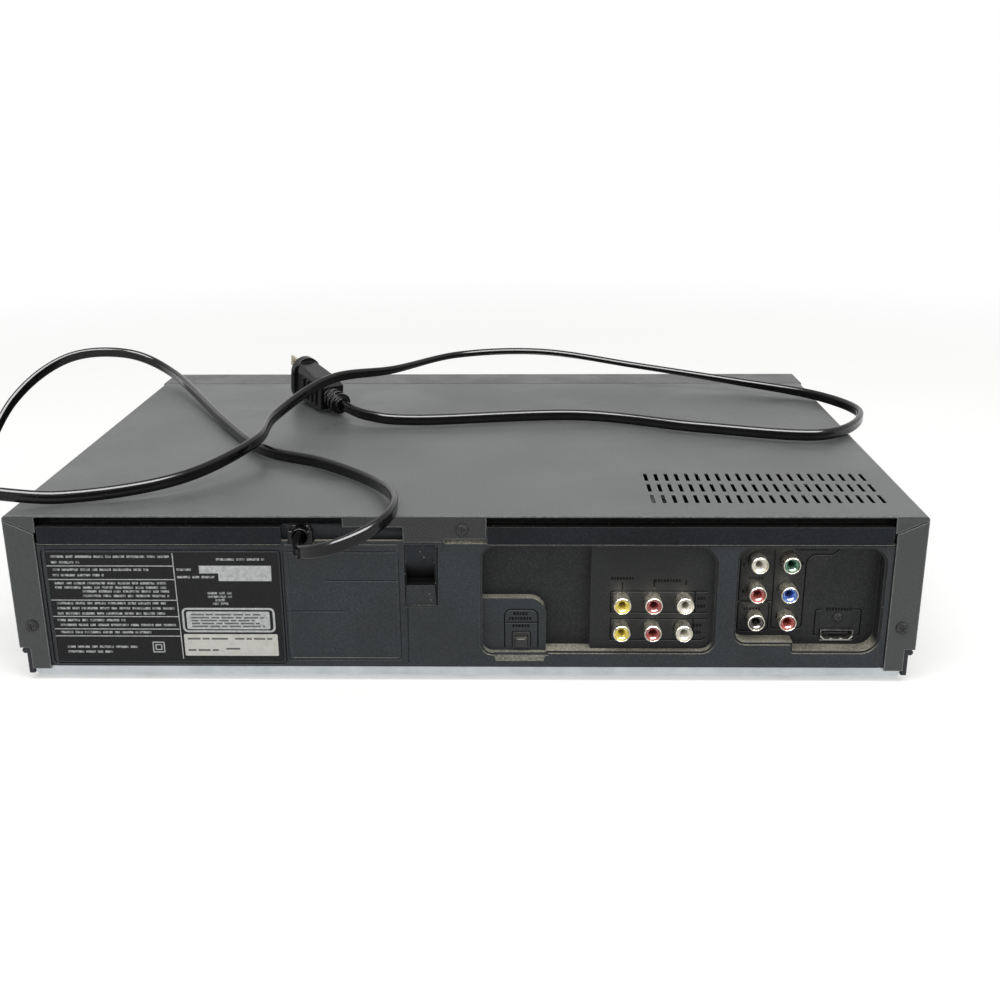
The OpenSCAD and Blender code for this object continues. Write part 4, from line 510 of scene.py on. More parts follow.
panelPlastic = dict(
    colour=(40, 44, 47), dark=(32, 35, 38), rough=(0.46, 0.6), patch=24, grain=(2400, 0.06), bump=0.45,
    fleck=(1300, 0.42, (78, 82, 86)), dust=(0.95, 0.4), dustColour=(176, 173, 154),
    edge=(0.35, 0.6, (122, 124, 126)), scratches=(16, 0.45), scratchColour=(140, 142, 144), specular=0.3)
bandPlastic = dict(
    panelPlastic, colour=(24, 27, 31), dark=(18, 21, 24), fleck=(1300, 0.34, (60, 64, 69)), specular=0.14)
pocketPlastic = dict(
    panelPlastic, colour=(33, 34, 35), dark=(26, 27, 28), fleck=(1300, 0.42, (70, 71, 71)),
    dustColour=(190, 187, 170), specular=0.24)
# the recess between the band and the cover's rear edge: a near-black copy of the panel plastic, painted shade
browPlastic = dict(
    panelPlastic, colour=(14, 14, 15), dark=(9, 9, 10), dust=(0.03, 0.6), fleck=(1100, 0.3, (70, 70, 68)),
    edge=(0.3, 0.8, (120, 122, 122)), specular=0.12)
# the latch window's plastic, with painted shade that darkens it towards the bottom
latchPlastic = dict(
    panelPlastic, dark=(26, 28, 32), dust=(0.05, 0.5), fade=(55, 67, (10, 10, 12)), specular=0.15)


# heights, depths and sides in mm that part the finishes
panelParts = dict(
    brow=79.3, latch=(12, 30), latchFoot=39, latchHood=49, recess=151.3, bandFoot=70,
    bandFace=152.2, platformSide=-41, platformFace=147)


def panelFinish(at):
    parts = panelParts
    # faces above the brow height get the painted shade
    if at.z > parts["brow"]:
        return "browPlastic"
    left, right = parts["latch"]
    # the latch window: painted shade on its faces above the hood height
    if left < at.x < right and at.y < parts["recess"] and at.z > parts["latchFoot"]:
        return "latchPlastic" if at.z > parts["latchHood"] else "panelPlastic"
    if at.y > parts["bandFace"] and at.z > parts["bandFoot"]:
        return "bandPlastic"
    onPlatform = at.x > parts["platformSide"] and at.y > parts["platformFace"]
    return "pocketPlastic" if at.y < parts["recess"] and not onPlatform else "panelPlastic"


wear("rear_panel", panelFinish, panelPlastic=panelPlastic, bandPlastic=bandPlastic, pocketPlastic=pocketPlastic,
     browPlastic=browPlastic, latchPlastic=latchPlastic)

wear("screws", screwSteel=dict(
    colour=(50, 50, 51), dark=(40, 40, 41), rough=(0.3, 0.4), patch=120, dust=(0.03, 0.1),
    edge=(0.24, 0.6, (178, 177, 172)), metal=0.6))

wear("feet", footRubber=dict(
    colour=(30, 30, 31), dark=(22, 22, 23), rough=(0.72, 0.85), patch=120, grain=(3000, 0.04),
    fleck=(1400, 0.3, (60, 60, 60)), dust=(0.3, 0.4)))
print("case finished")


# the nearly white colour of the sleeves' worn edges is also a painted highlight on their rims
wear("jack_sleeves", jackNickel=dict(
    colour=(206, 202, 190), dark=(150, 144, 128), rough=(0.16, 0.3), patch=300, spread=0.16, dust=(0.5, 0.2),
    dustColour=(178, 172, 152), edge=(0.22, 0.9, (255, 253, 248)), metal=0.85))
wear("jack_blocks", jackBody=dict(
    colour=(48, 48, 50), dark=(38, 38, 40), rough=(0.55, 0.68), patch=200, grain=(3200, 0.03)))

linerTints = {
    "linerYellow": (226, 206, 84), "linerRed": (158, 58, 58), "linerWhite": (222, 218, 206),
    "linerGreen": (38, 104, 78), "linerBlue": (62, 104, 190), "linerBlack": (34, 34, 35)}
linerBase = dict(
    rough=(0.14, 0.26), patch=300, dust=(0.25, 0.15), dustColour=(190, 184, 166), edge=(0.15, 0.3, (236, 234, 226)),
    coat=0.4, coatRough=0.08)
linerDark = 0.86
liners = {name: dict(linerBase, colour=colour, dark=tuple(int(c * linerDark) for c in colour))
          for name, colour in linerTints.items()}
# where the jacks stand, in mm; rows: heights between the three rows of component jacks
jackPlaces = dict(
    front=-202, frontPitch=14, main=-120, mainYellow=-82, mainRed=-97, green=-146.5, rows=(52, 37))


def linerTint(at):
    places = jackPlaces
    if at.y < 0:
        order = ("linerYellow", "linerWhite", "linerRed")
        return order[min(2, int((at.x - places["front"]) // places["frontPitch"]))]
    if at.x > places["main"]:
        beside = sum(at.x <= place for place in (places["mainYellow"], places["mainRed"]))
        return ("linerYellow", "linerRed", "linerWhite")[beside]
    row = sum(at.z <= height for height in places["rows"])
    if at.x < places["green"]:
        return ("linerGreen", "linerBlue", "linerRed")[row]
    return ("linerWhite", "linerRed", "linerBlack")[row]


wear("jack_liners", linerTint, **liners)

tinPlate = dict(
    colour=(212, 212, 210), dark=(176, 176, 174), rough=(0.22, 0.38), patch=240, brush=((500, 60, 900), 0.2),
    dust=(0.5, 0.2), metal=1)
# a dark copy of the tin plate: painted shade on the shell's upper part
tinShade = dict(tinPlate, colour=(34, 34, 34), dark=(22, 22, 22), dust=(0.1, 0.1), metal=0.3)
socketPlastic = dict(
    colour=(27, 27, 29), dark=(20, 20, 22), rough=(0.42, 0.56), patch=220, grain=(3600, 0.03), dust=(0.4, 0.4),
    edge=(0.25, 0.35, (84, 84, 88)))
# the thin tongue in the middle of the flat socket is plastic, the folded shell is tin plate, with painted shade above
flatSocket = dict(middle=(-179.3, 21.4), tongue=(6, 1.1), bright=20.6)


def socketFinish(at):
    (x, z), (half, thick) = flatSocket["middle"], flatSocket["tongue"]
    if abs(at.x - x) < half and abs(at.z - z) < thick:
        return "socketPlastic"
    return "tinPlate" if at.z < flatSocket["bright"] else "tinShade"


wear("hdmi_socket", socketFinish, tinPlate=tinPlate, socketPlastic=socketPlastic, tinShade=tinShade)
wear(["optical_socket", "optical_shutter"], socketPlastic=socketPlastic)
print("sockets finished")


frontLacquer = dict(
    colour=(44, 46, 49), dark=(36, 38, 41), rough=(0.3, 0.4), patch=20, grain=(6500, 0.012), bump=0.25,
    dust=(0.1, 0.2), edge=(0.35, 0.3, (110, 113, 117)), specular=0.3, coat=0.06, coatRough=0.2)
wear(["front_fascia", "tray_front"], frontLacquer=frontLacquer)
wear("cassette_door", doorLacquer=dict(
    frontLacquer, colour=(64, 67, 71), dark=(56, 59, 63), metal=0.4, coat=0.3, specular=0.5, coatRough=0.03))
wear([n for n in nodes if n.endswith("_button")], buttonLacquer=dict(
    frontLacquer, colour=(188, 191, 194), dark=(178, 181, 184), rough=(0.2, 0.28), edge=(0.3, 0.3, (214, 216, 218)),
    metal=0.5, coat=0.3, specular=0.5, coatRough=0.03))
wear("display_window", smokedWindow=dict(
    colour=(92, 94, 104), dark=(84, 86, 96), rough=(0.02, 0.05), patch=30, clear=0.92, ior=1.3, specular=0.3))


# symbols above the keys; keys: symbol, place in x and z; size is half a symbol's height
frontPrint = dict(plane=-154.5, rise=-0.03, size=1.5, keys=(
    ("eject", -146, 32.2), ("rewind", -119, 32.2), ("play", -92, 32.2), ("forward", -65, 32.2), ("stop", -38, 32.2),
    ("play", 144, 22.4), ("stop", 118, 22.4), ("eject", 193, 71.4), ("power", 13, 65.8), ("swap", 13, 31.6)))


# arrows: how far beside the middle each one stands, and where it points
arrows = dict(
    play=((0, 1),), rewind=((-0.9, -1), (0.9, -1)), forward=((-0.9, 1), (0.9, 1)), swap=((-1.3, -1), (1.3, 1)))


def symbolShapes(kind, x, z, r):
    if kind in arrows:
        return [[(x + r * (off - way * 0.8), z + r), (x + r * (off - way * 0.8), z - r), (x + r * (off + way * 0.9), z)]
                for off, way in arrows[kind]]
    if kind == "stop":
        return [rectangle(x - r, z - r, x + r, z + r)]
    if kind == "power":
        bow = [(x + c * r * sin(radians(a)), z + c * r * cos(radians(a)))
               for c, angles in ((1.0, range(30, 331, 20)), (0.72, range(330, 29, -20))) for a in angles]
        return [bow, rectangle(x - 0.2, z, x + 0.2, z + r)]
    return [[(x - r, z - r * 0.3), (x + r, z - r * 0.3), (x, z + r)], rectangle(x - r, z - r, x + r, z - r * 0.6)]


def makeFrontPrint(look):
    shapes = [shape for kind, x, z in look["keys"] for shape in symbolShapes(kind, x, z, look["size"])]
    plates("keySymbols", shapes, look["plane"], look["rise"])


# the unlit bars of four digits, and the two dots between the pairs; bar: a bar's width; dot: half a dot's
display = dict(
    plane=-150.0, rise=-0.05, left=62, pitch=21, pair=4, foot=28.6, size=(7.0, 7.0), bar=0.9, dots=(2.2, 4.8), dot=0.6)


def makeDigits(look):
    wide, high = look["size"]
    bar, dot, foot = look["bar"], look["dot"], look["foot"]
    shapes = []
    for k in range(4):
        x = look["left"] + look["pitch"] * k + (look["pair"] if k > 1 else 0)
        for row in (0, high / 2, high):
            shapes.append(rectangle(x + bar, foot + row - bar / 2, x + wide - bar, foot + row + bar / 2))
        for side in (0, wide - bar):
            for row in (0, high / 2):
                shapes.append(rectangle(x + side, foot + row + bar * 0.7,
                                        x + side + bar, foot + row + high / 2 - bar * 0.7))
    middle = look["left"] + look["pitch"] * 2 - look["pair"]
    for up in look["dots"]:
        z = foot + up
        shapes.append(roundedOutline(middle - dot, z - dot, middle + dot, z + dot, dot - 0.05))
    plates("displayDigits", shapes, look["plane"], look["rise"])


# a small lens, domed towards the front
standbyLamp = dict(middle=(13, 47), plane=-154.5, radius=1.3, rise=0.7, rings=4, sides=20)


def makeStandbyLamp(look):
    (x, z), plane, rings, sides = look["middle"], look["plane"], look["rings"], look["sides"]
    verts, faces = [], []
    for up in range(rings):
        lean = radians(90 * up / rings)
        wide, out = look["radius"] * cos(lean), look["rise"] * sin(lean)
        for k in range(sides):
            a = 2 * pi * k / sides
            verts.append(((x + wide * cos(a)) * mm, (plane - out) * mm, (z + wide * sin(a)) * mm))
    verts.append((x * mm, (plane - look["rise"]) * mm, z * mm))
    for p in range(0, (rings - 1) * sides, sides):
        faces += ringFaces(p, sides)
    p = (rings - 1) * sides
    faces += [(p + k, p + (k + 1) % sides, len(verts) - 1) for k in range(sides)]
    faces.append(tuple(range(sides)))
    newPiece("standbyLamp", verts, faces, slot="front_plastic", smooth=True)


makeFrontPrint(frontPrint)
makeDigits(display)
makeStandbyLamp(standbyLamp)
wear("keySymbols", symbolInk=dict(colour=(196, 199, 201), dark=(178, 181, 183), rough=(0.4, 0.5), patch=300))
wear("displayDigits", unlitBars=dict(colour=(150, 166, 158), dark=(136, 152, 146), rough=(0.3, 0.4), patch=200))
wear("standbyLamp", lensRed=dict(
    colour=(120, 18, 16), dark=(96, 12, 12), rough=(0.08, 0.14), patch=400, clear=0.3, ior=1.49, coat=0.5))

# a dark strip on the cover's front edge: the painted shadow of the gap between the cover and the front
coverSeam = dict(side=211, front=-117.5, rear=-116.7, height=85.02)
seamCorners = rectangle(-coverSeam["side"], coverSeam["front"], coverSeam["side"], coverSeam["rear"])
newPiece("coverSeam", [(x * mm, y * mm, coverSeam["height"] * mm) for x, y in seamCorners], [(0, 1, 2, 3)],
         slot="front_plastic")
wear("coverSeam", seamShade=dict(colour=(22, 23, 24), dark=(14, 15, 15), rough=(0.6, 0.8), patch=100))
print("front finished")


board = dict(
    boardLaminate=dict(
        colour=(42, 92, 52), dark=(30, 72, 42), rough=(0.32, 0.44), patch=160, scratches=(150, 0.9),
        scratchColour=(92, 150, 96), dust=(0.5, 0.3)),
    partPlastic=dict(colour=(36, 36, 38), dark=(26, 26, 28), rough=(0.4, 0.55), patch=300, dust=(0.5, 0.3)))
# boardTop and boardBack: where the boards end and their parts begin, in mm
boardPlaces = dict(
    boardTop=11.75, boardBack=-145.05, glass=(41, 167, 27.4, 36.8), sink=(36, 120), caps=(34, 165),
    tape=(130, 158, 16, 38))


def frontPart(at):
    left, right, foot, top = boardPlaces["glass"]
    if at.y > boardPlaces["boardBack"]:
        return "boardLaminate"
    return "displayGlass" if left < at.x < right and foot < at.z < top else "partPlastic"


def powerPart(at):
    (sinkFoot, sinkSide), (capTop, capSide) = boardPlaces["sink"], boardPlaces["caps"]
    if at.z < boardPlaces["boardTop"]:
        return "boardLaminate"
    if at.z > sinkFoot and at.x < sinkSide:
        return "heatSink"
    return "capSleeve" if at.z < capTop and at.x > capSide else "partPlastic"


def mainPart(at):
    return "boardLaminate" if at.z < boardPlaces["boardTop"] else "partPlastic"


def transformerPart(at):
    left, right, foot, top = boardPlaces["tape"]
    return "windingTape" if left < at.x < right and foot < at.z < top else "ferrite"


wear("front_board", frontPart, **board, displayGlass=dict(
    colour=(86, 104, 98), dark=(70, 86, 82), rough=(0.08, 0.16), patch=80, coat=0.4, coatRough=0.04))
wear("main_board", mainPart, **board)
wear("power_board", powerPart, **board, capSleeve=dict(
    colour=(52, 48, 92), dark=(40, 38, 76), rough=(0.22, 0.34), patch=200, dust=(0.4, 0.3)), heatSink=dict(
    colour=(196, 199, 202), dark=(170, 174, 178), rough=(0.34, 0.46), patch=90, brush=((600, 30, 30), 0.2),
    dust=(0.4, 0.2), metal=1))
ferrite = dict(colour=(58, 56, 54), dark=(40, 39, 38), rough=(0.55, 0.7), patch=180, grain=(1800, 0.05))
windingTape = dict(
    colour=(206, 176, 84), dark=(188, 156, 66), rough=(0.22, 0.34), patch=120, brush=((20, 20, 900), 0.18))
wear("power_transformer", transformerPart, ferrite=ferrite, windingTape=windingTape)
wear("ribbon_cables", ribbonFilm=dict(
    colour=(226, 226, 220), dark=(176, 178, 178), rough=(0.35, 0.5), patch=90, brush=((1500, 3, 3), 0.5),
    brushColour=(120, 122, 124)))
print("boards finished")


deckSteel = dict(
    colour=(208, 210, 206), dark=(182, 184, 180), rough=(0.28, 0.42), patch=60, brush=((1200, 40, 1200), 0.2),
    dust=(0.25, 0.2), edge=(0.25, 0.4, (228, 230, 230)), metal=1)
wear(["deck_plate", "cassette_holder"], deckSteel=deckSteel)
wear(["lower_drum", "head_drum"], drumAluminium=dict(
    colour=(222, 223, 225), dark=(196, 198, 201), rough=(0.12, 0.24), patch=80, brush=((20, 20, 5200), 0.3),
    metal=1))
wear(["supply_reel", "take_up_reel", "turntable"], reelPlastic=dict(
    colour=(40, 41, 44), dark=(32, 33, 36), rough=(0.34, 0.46), patch=150, grain=(3400, 0.03),
    edge=(0.3, 0.35, (92, 94, 98)), dust=(0.2, 0.15)))
wear(["capstan", "supply_guide", "take_up_guide"], turnedSteel=dict(
    colour=(216, 217, 218), dark=(186, 188, 190), rough=(0.1, 0.22), patch=120, brush=((30, 30, 4200), 0.25),
    metal=1))
motorBoard = dict(colour=(44, 96, 60), dark=(34, 80, 48), rough=(0.36, 0.48), patch=140, dust=(0.2, 0.2))
coilCopper = dict(
    colour=(214, 130, 78), dark=(168, 92, 50), rough=(0.24, 0.36), patch=200, brush=((2600, 2600, 20), 0.3),
    metal=1)
coilFoot = 8.2
wear("capstan_motor", lambda at: "motorBoard" if at.z < coilFoot else "coilCopper", motorBoard=motorBoard,
     coilCopper=coilCopper)
wear("pinch_arm", armSteel=dict(deckSteel, colour=(186, 188, 192), dark=(158, 160, 164)))
wear("pinch_roller", rollerRubber=dict(
    colour=(38, 37, 37), dark=(30, 30, 30), rough=(0.55, 0.7), patch=260, grain=(5200, 0.03), dust=(0.1, 0.2)))
wear(["cam_gear", "loading_pinion", "tray_gear", "motor_pulley"], gearAcetal=dict(
    colour=(232, 230, 220), dark=(216, 213, 200), rough=(0.3, 0.42), patch=150, edge=(0.2, 0.2, (246, 245, 240)),
    dust=(0.3, 0.2), wax=0.08, waxDepth=0.002))
wear(["loading_motor", "tray_motor"], motorCan=dict(
    colour=(202, 204, 208), dark=(174, 176, 180), rough=(0.2, 0.34), patch=110, brush=((40, 40, 1600), 0.2),
    metal=1))
print("deck finished")


wear(["loader_frame", "disc_tray"], loaderPlastic=dict(
    colour=(40, 42, 45), dark=(31, 33, 36), rough=(0.46, 0.6), patch=60, grain=(2600, 0.04),
    edge=(0.35, 0.3, (88, 90, 94)), dust=(0.07, 0.12)))
wear("tray_belt", beltRubber=dict(
    colour=(28, 28, 28), dark=(22, 22, 22), rough=(0.6, 0.75), patch=300, grain=(4200, 0.03)))
wear("traverse", traverseSteel=dict(deckSteel, colour=(160, 162, 165), dark=(136, 138, 142)))
pickupBody = dict(
    colour=(64, 66, 70), dark=(50, 52, 56), rough=(0.4, 0.55), patch=200, grain=(2800, 0.05),
    edge=(0.25, 0.4, (120, 122, 126)))
pickupLens = dict(
    colour=(44, 62, 96), dark=(34, 46, 78), rough=(0.05, 0.1), patch=400, coat=0.8, coatRough=0.03)
lens = dict(middle=(104, -43), foot=55.0, reach=14 ** 0.5)


def pickupPart(at):
    onLens = at.z > lens["foot"] and (at.xy - Vector(lens["middle"])).length < lens["reach"]
    return "pickupLens" if onLens else "pickupBody"


wear("pickup", pickupPart, pickupBody=pickupBody, pickupLens=pickupLens)
wear("clamper", clamperPlastic=dict(
    colour=(206, 206, 202), dark=(190, 190, 186), rough=(0.34, 0.46), patch=120, grain=(3000, 0.03),
    edge=(0.3, 0.2, (232, 232, 230))))
print("loader finished")


cordVinyl = dict(
    colour=(14, 14, 15), dark=(9, 9, 10), rough=(0.12, 0.18), patch=60, grain=(1500, 0.006), bump=0.1,
    dust=(0.04, 0.2), dustColour=(110, 108, 102), specular=0.26)
wear("mainsCord", cordVinyl=cordVinyl)
wear(["plug_body", "cord_bush"], plugVinyl=dict(
    cordVinyl, rough=(0.16, 0.3), grain=(2600, 0.02), bump=0.2, edge=(0.5, 0.25, (60, 60, 62))))
wear("plug_blades", bladeBrass=dict(
    colour=(214, 206, 188), dark=(180, 168, 140), rough=(0.2, 0.34), patch=260, brush=((800, 60, 800), 0.2),
    scratches=(130, 0.4), metal=1))
print("cord finished")


# a black film with ruled lines, plain bars and blank fields, in mm
# rows: height of a row of bars, where it starts and where it ends; dark rows stand on the fields and the sticker
rearLabel = dict(
    plane=151.7, film=0.1, ink=0.04, paper=0.08, dark=0.02, edges=(87, 10.3, 197.6, 66.6, 1.5),
    rule=0.42, rules=(59.8, 52.9, 42.3, 33.8, 27.3, 23.6), ruleEnds=(197, 136.6),
    column=[(136.8, 66.3), (136.1, 11.7)], square=0.5,
    squares=((144.9, 15.2, 150.2, 20.4, 0.2), (146.2, 16.5, 148.9, 19.1, 0.1)),
    frame=1.0, frameEdges=(90.9, 26.2, 134.4, 37.9, 2), notice=(92.9, 27.3, 132.8, 36.5, 0.8),
    blank=[(124.7, 60), (90.6, 60), (90.8, 52.2), (115.8, 52.2), (115.8, 56.1), (124.7, 56.1)],
    sticker=(89.7, 13.3, 134.9, 24.7, 0.6), bar=1.15, fieldBar=0.8, stickerBar=0.9,
    words=(6.2, 3.4, 7.8, 4.6, 2.6, 5.4, 8.6, 3.9, 5.9, 2.9, 6.8),
    rows=(
        (64.5, 194.5, 138.5), (61.6, 194.6, 181.2), (57.9, 194.3, 148.7), (55.1, 194.5, 170.2), (51, 194.2, 141),
        (48.8, 194.2, 140.1), (46.8, 181.3, 139.9), (44.5, 181.3, 140), (40.7, 194.2, 142), (38.1, 194.3, 138),
        (35.4, 194.5, 142.9), (31.9, 195, 162.3), (29.4, 193.9, 138.2), (25.6, 194.2, 150.5), (17.9, 191.9, 157.1),
        (15.3, 191.9, 170.1), (63.2, 116.3, 93.5), (58, 135.4, 127), (54.2, 135.4, 117.8), (46, 121.7, 110.1),
        (44.1, 121.7, 110.2), (42.4, 118.1, 113.6), (40.6, 119.6, 112.2)),
    fieldRows=(
        (34.9, 130.6, 97.2), (33.3, 130.6, 95.6), (31.8, 130.5, 100.2), (30.3, 130.5, 97.8), (28.8, 130.5, 95.4)),
    stickerRows=((22.3, 133.2, 112.5), (22.3, 110.4, 92.4), (16.3, 133.4, 118.4), (17.0, 115.0, 106.7)))


# rows of bars as long as words
def wordBars(rows, words, high, gap=1.0, shortest=0.8):
    outlines, count = [], 0
    for z, start, end in rows:
        x = start
        while x > end + shortest:
            long = min(words[count % len(words)], x - end)
            count += 1
            outlines.append(rectangle(x, z + high / 2, x - long, z - high / 2))
            x -= long + gap
    return outlines


def makeRearLabel(look):
    ink, words = look["ink"], look["words"]
    inkPlane = look["plane"] + look["film"]
    start, end = look["ruleEnds"]
    rules = [[(start, z), (end, z)] for z in look["rules"]] + [look["column"]]
    squares = [ring(roundedOutline(*edges)) for edges in look["squares"]]
    plates("labelFilm", [roundedOutline(*look["edges"])], look["plane"], look["film"])
    linework("labelRules", rules, look["rule"], inkPlane, ink)
    linework("labelSquares", squares, look["square"], inkPlane, ink)
    linework("labelFrame", [ring(roundedOutline(*look["frameEdges"]))], look["frame"], inkPlane, ink)
    plates("labelFields", [look["blank"], roundedOutline(*look["notice"])], inkPlane, ink)
    plates("labelSticker", [roundedOutline(*look["sticker"])], inkPlane, look["paper"])
    plates("labelBars", wordBars(look["rows"], words, look["bar"]), inkPlane, ink)
    fieldBars, stickerBars = (wordBars(look[k + "Rows"], words, look[k + "Bar"]) for k in ("field", "sticker"))
    plates("fieldBars", fieldBars, inkPlane + ink, look["dark"])
    plates("stickerBars", stickerBars, inkPlane + look["paper"], look["dark"])


makeRearLabel(rearLabel)
wear("labelFilm", filmBlack=dict(
    colour=(20, 20, 22), dark=(15, 15, 17), rough=(0.26, 0.38), patch=40, grain=(3000, 0.012), bump=0.3,
    fleck=(1400, 0.3, (48, 48, 50)), dust=(0.3, 0.3), scratches=(24, 0.4), edge=(0.2, 0.5, (74, 75, 78)),
    specular=0.2))
inkWhite = dict(colour=(196, 198, 198), dark=(160, 162, 162), rough=(0.42, 0.55), patch=500, dust=(0.2, 0.1))
wear(["labelRules", "labelFrame", "labelFields", "labelSquares"], inkWhite=inkWhite)
wear("labelBars", inkGrey=dict(inkWhite, colour=(172, 174, 175), dark=(80, 81, 82), patch=900, spread=0.12))
wear(["fieldBars", "stickerBars"], inkBlack=dict(inkWhite, colour=(104, 104, 102), dark=(62, 62, 62), patch=900))
wear("labelSticker", stickerPaper=dict(
    colour=(204, 203, 196), dark=(188, 187, 180), rough=(0.5, 0.64), patch=240, grain=(4200, 0.01),
    edge=(0.15, 0.4, (120, 118, 112))))


# a dark line with a painted highlight on its lower lip, in mm; planes of the panel's face and of the two pockets'
# plates
engraving = dict(
    width=0.6, lip=0.28, rise=0.03, lipRise=0.8, planes=dict(panel=151.7, main=147.7, component=142.7))
engravedLines = {
    "mainFrames": ("main", [
        [(-115.6, 45.7)] + turn(-70.9, 44.5, 1.2, 90, 0) + [(-69.8, 34.8), (-115.9, 34.8)],
        [(-115.6, 31.4), (-69.8, 31.4), (-70.0, 20.6), (-113.0, 20.6)] + turn(-113.4, 22.6, 2, 270, 200),
        [(-109.7, 45.5), (-110, 35)], [(-109.3, 31.2), (-109.6, 20.8)], [(-75.1, 50.3), (-75.1, 46.2)],
        [(-89.9, 51.6), (-90.3, 47.8)], [(-105.1, 51.6), (-105.2, 48.8)]]),
    "opticalArch": ("main", [
        [(-19.2, 16.2)] + turn(-22.6, 32.8, 3.4, 0, 90) + turn(-31.8, 32.8, 3.4, 90, 180) + [(-35.2, 16.2)],
        [(-19.6, 29.4), (-34.8, 29.4)]]),
    "componentFrames": ("component", [
        [(-131.4, 60.5), (-131.2, 39), (-147.6, 38.6)],
        [(-147.2, 64.7), (-147.6, 38.5)] + turn(-149.4, 26.3, 1.9, 0, -90) + turn(-160.0, 26.6, 2.2, 270, 180)
        + [(-162.3, 58)] + turn(-166.9, 58, 4.5, 0, 90) + [(-174.6, 62.6), (-177.6, 65)],
        ring(roundedOutline(-146.1, 23.1, -131.3, 38.1, 2.1)),
        [(-171.6, 34.3), (-169.4, 34.3), (-168.6, 33.5), (-168.5, 21), (-170.2, 21)],
        [(-186.6, 34.5), (-189.8, 34.4), (-190.5, 33.6), (-190.5, 21), (-188.8, 21)]]),
    "noticeFrame": ("panel", [
        ring(roundedOutline(30.6, 11.3, 84.8, 67, 1.2)), [(65.4, 52.5), (30.8, 52.5)], [(84.6, 36.8), (57.5, 36.9)]]),
    "labelRecess": ("panel", [ring(roundedOutline(86, 9.2, 198.9, 67.8, 2))]),
    "latchSides": ("panel", [[(12.2, 69.5), (12.7, 40)], [(28.4, 39.6), (13, 39.6)]]),
    "panelSeam": ("panel", [[(26.7, 39), (27.1, 9.4)]])}
faintLines = ["noticeFrame", "panelSeam"]


def makeEngraving(look, groups):
    drop = (look["width"] + look["lip"]) / 2
    for name, (place, lines) in groups.items():
        plane = look["planes"][place]
        lips = [[(x, z - drop) for x, z in line] for line in lines]
        linework(name, lines, look["width"], plane, look["rise"])
        linework(name + "Lip", lips, look["lip"], plane, look["rise"] * look["lipRise"])


# rows of small marks where the sockets have their names, each as height, start and end
socketMarks = dict(size=(1.5, 0.45), rise=0.02, words=(1.0, 0.8, 1.1), rows=dict(
    main=(
        (52.2, -69.6, -80.6), (51.1, -90.2, -103.4), (42.1, -110.9, -115.3), (38, -110.9, -115.3),
        (28.1, -109.4, -114), (24.4, -109.4, -114), (34, -23.4, -31.4), (31.4, -21.2, -33), (27.6, -23, -31.1)),
    component=(
        (34.5, -173.6, -186.4), (65.4, -157, -172.6), (50.4, -135.8, -142.8), (34.6, -134, -142.6),
        (57.4, -132.6, -133.8), (43.6, -132.8, -134), (57.8, -160.2, -161.4), (42.8, -159.4, -161.2),
        (29.4, -159, -160.8))))


def makeMarks(look, planes):
    high, gap = look["size"]
    for place, rows in look["rows"].items():
        plates(place + "Marks", wordBars(rows, look["words"], high, gap), planes[place], look["rise"])


# dust under the flat socket, and a painted highlight line on the optical shutter
rubs = dict(
    dustLine=[(-171.6, 18.2), (-187.2, 18.2)], dustWidth=0.7, rubLine=[(-25.2, 21.2), (-28.9, 21.2)],
    rubWidth=0.5, shutterPlane=149.2, rise=0.04)
makeEngraving(engraving, engravedLines)
makeMarks(socketMarks, engraving["planes"])
linework("socketDust", [rubs["dustLine"]], rubs["dustWidth"], engraving["planes"]["component"], rubs["rise"])
linework("shutterRub", [rubs["rubLine"]], rubs["rubWidth"], rubs["shutterPlane"], rubs["rise"],
         body="optical_shutter", slot="socket_plastic")
# the same light colour is dust under the socket and a painted highlight on the shutter
wear(["socketDust", "shutterRub"], rubbedDust=dict(
    colour=(168, 167, 158), dark=(112, 111, 104), rough=(0.5, 0.7), patch=700, spread=0.14))
grooveShade = dict(
    colour=(7, 7, 8), dark=(4, 4, 5), rough=(0.7, 0.85), patch=200, fleck=(1400, 0.25, (40, 41, 42)), specular=0.08)
wear([n for n in engravedLines if n not in faintLines], grooveShade=grooveShade)
wear(faintLines, softGroove=dict(
    grooveShade, colour=(40, 43, 46), dark=(33, 35, 38), fleck=(1400, 0.4, (66, 69, 72))))
wear(["mainMarks", "componentMarks"], markShade=dict(
    grooveShade, colour=(22, 22, 23), dark=(12, 12, 13), patch=1100, spread=0.1))
# a lighter strip under each groove: painted highlight on its lower lip
wear([n + "Lip" for n in engravedLines], lipPlastic=dict(
    colour=(74, 77, 79), dark=(46, 48, 51), rough=(0.45, 0.6), patch=90, fleck=(1400, 0.5, (110, 112, 114))))
print("rear details made")


# white: what the camera and mirrors see; ambient: what lights the object; lift: glow of the floor near it
# half: half the floor's width; near, far: between them it turns plain white, all in metres
roomLight = dict(
    white=1.0, ambient=0.5, floorColour=(232, 232, 230), floorRough=0.9, floorSpecular=0.1,
    half=6.0, lift=0.36, near=0.5, far=1.3)
# place and aim in metres, size of the panel, radiance; the last one only adds highlights to the glossy pieces
lamps = dict(
    overhead=dict(at=(0.0, 0.52, 1.12), aim=(0, 0, 0.05), size=(1.9, 0.5), glow=2.9),
    window=dict(at=(-1.3, 1.2, 0.9), aim=(0, 0.1, 0.05), size=(0.9, 0.9), glow=1.6),
    fill=dict(at=(1.2, 1.5, 0.55), aim=(0, 0.1, 0.05), size=(0.9, 0.7), glow=1.1),
    sheen=dict(at=(0.0, 1.1, 1.15), aim=(0, 0.1, 0.08), size=(2.6, 1.3), glow=28.0, diffuse=False,
               only=("mainsCord", "plug_body", "cord_bush", "jack_sleeves", "jack_liners")))


def seenRays(tree):
    path = put(tree, "LightPath").outputs
    seen = calc("ADD", path["Is Camera Ray"], path["Is Glossy Ray"])
    return calc("ADD", seen, path["Is Transmission Ray"], clamp=True)


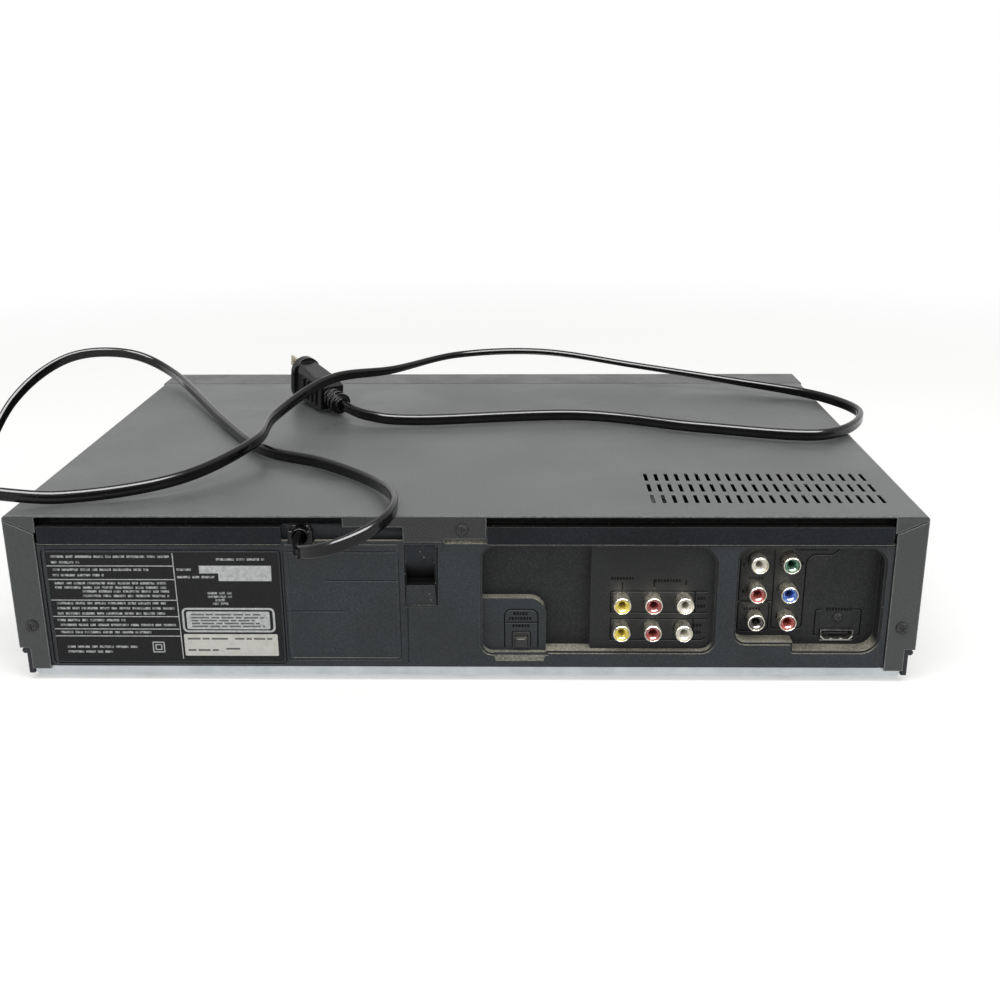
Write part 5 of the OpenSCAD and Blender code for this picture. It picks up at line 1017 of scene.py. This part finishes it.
def makeRoom(look):
    world = bpy.data.worlds.new("room")
    bpy.context.scene.world = world
    world.use_nodes = True
    tree = world.node_tree
    strength = ramp(seenRays(tree), 0.0, 1.0, look["ambient"], look["white"])
    setSockets(tree, tree.nodes["Background"], {"Color": (1, 1, 1, 1), "Strength": strength})

    half = look["half"]
    mesh = bpy.data.meshes.new("floor")
    mesh.from_pydata([(x, y, 0) for x, y in rectangle(-half, -half, half, half)], [], [(0, 1, 2, 3)])
    floor = addObject("floor", mesh)
    material = bpy.data.materials.new("paleFloor")
    material.use_nodes = True
    tree = material.node_tree
    shader = tree.nodes["Principled BSDF"]
    setSockets(tree, shader, {"Base Color": tone(*look["floorColour"]), "Roughness": look["floorRough"],
                              "Specular IOR Level": look["floorSpecular"]})
    seen = seenRays(tree)
    distance = vectorCalc("LENGTH", put(tree, "TexCoord").outputs["Object"])["Value"]
    away = times(ramp(distance, look["near"], look["far"]), seen)
    lift = put(tree, "Emission", {"Strength": times(seen, look["lift"])}).outputs[0]
    near = put(tree, "AddShader", {0: shader.outputs[0], 1: lift}).outputs[0]
    plain = put(tree, "Emission", {"Strength": look["white"]}).outputs[0]
    mixed = put(tree, "MixShader", {0: away, 1: near, 2: plain}).outputs[0]
    tree.links.new(mixed, tree.nodes["Material Output"].inputs["Surface"])
    mesh.materials.append(material)


def makeLamps(settings):
    for name, look in settings.items():
        data = bpy.data.lights.new(name, "AREA")
        data.shape = "RECTANGLE"
        data.size, data.size_y = look["size"]
        data.energy = look["glow"] * pi * look["size"][0] * look["size"][1]
        lamp = addObject(name, data)
        way = Vector(look["aim"]) - Vector(look["at"])
        lamp.matrix_world = Matrix.Translation(look["at"]) @ way.to_track_quat("-Z", "Y").to_matrix().to_4x4()
        lamp.visible_camera = False
        lamp.visible_diffuse = look.get("diffuse", True)
        if "only" in look:
            lit = bpy.data.collections.new(name + "Pieces")
            for piece in look["only"]:
                lit.objects.link(bpy.data.objects[piece])
            lamp.light_linking.receiver_collection = lit


makeRoom(roomLight)
makeLamps(lamps)
bpy.context.scene.view_settings.view_transform = "Standard"
print("room lit")
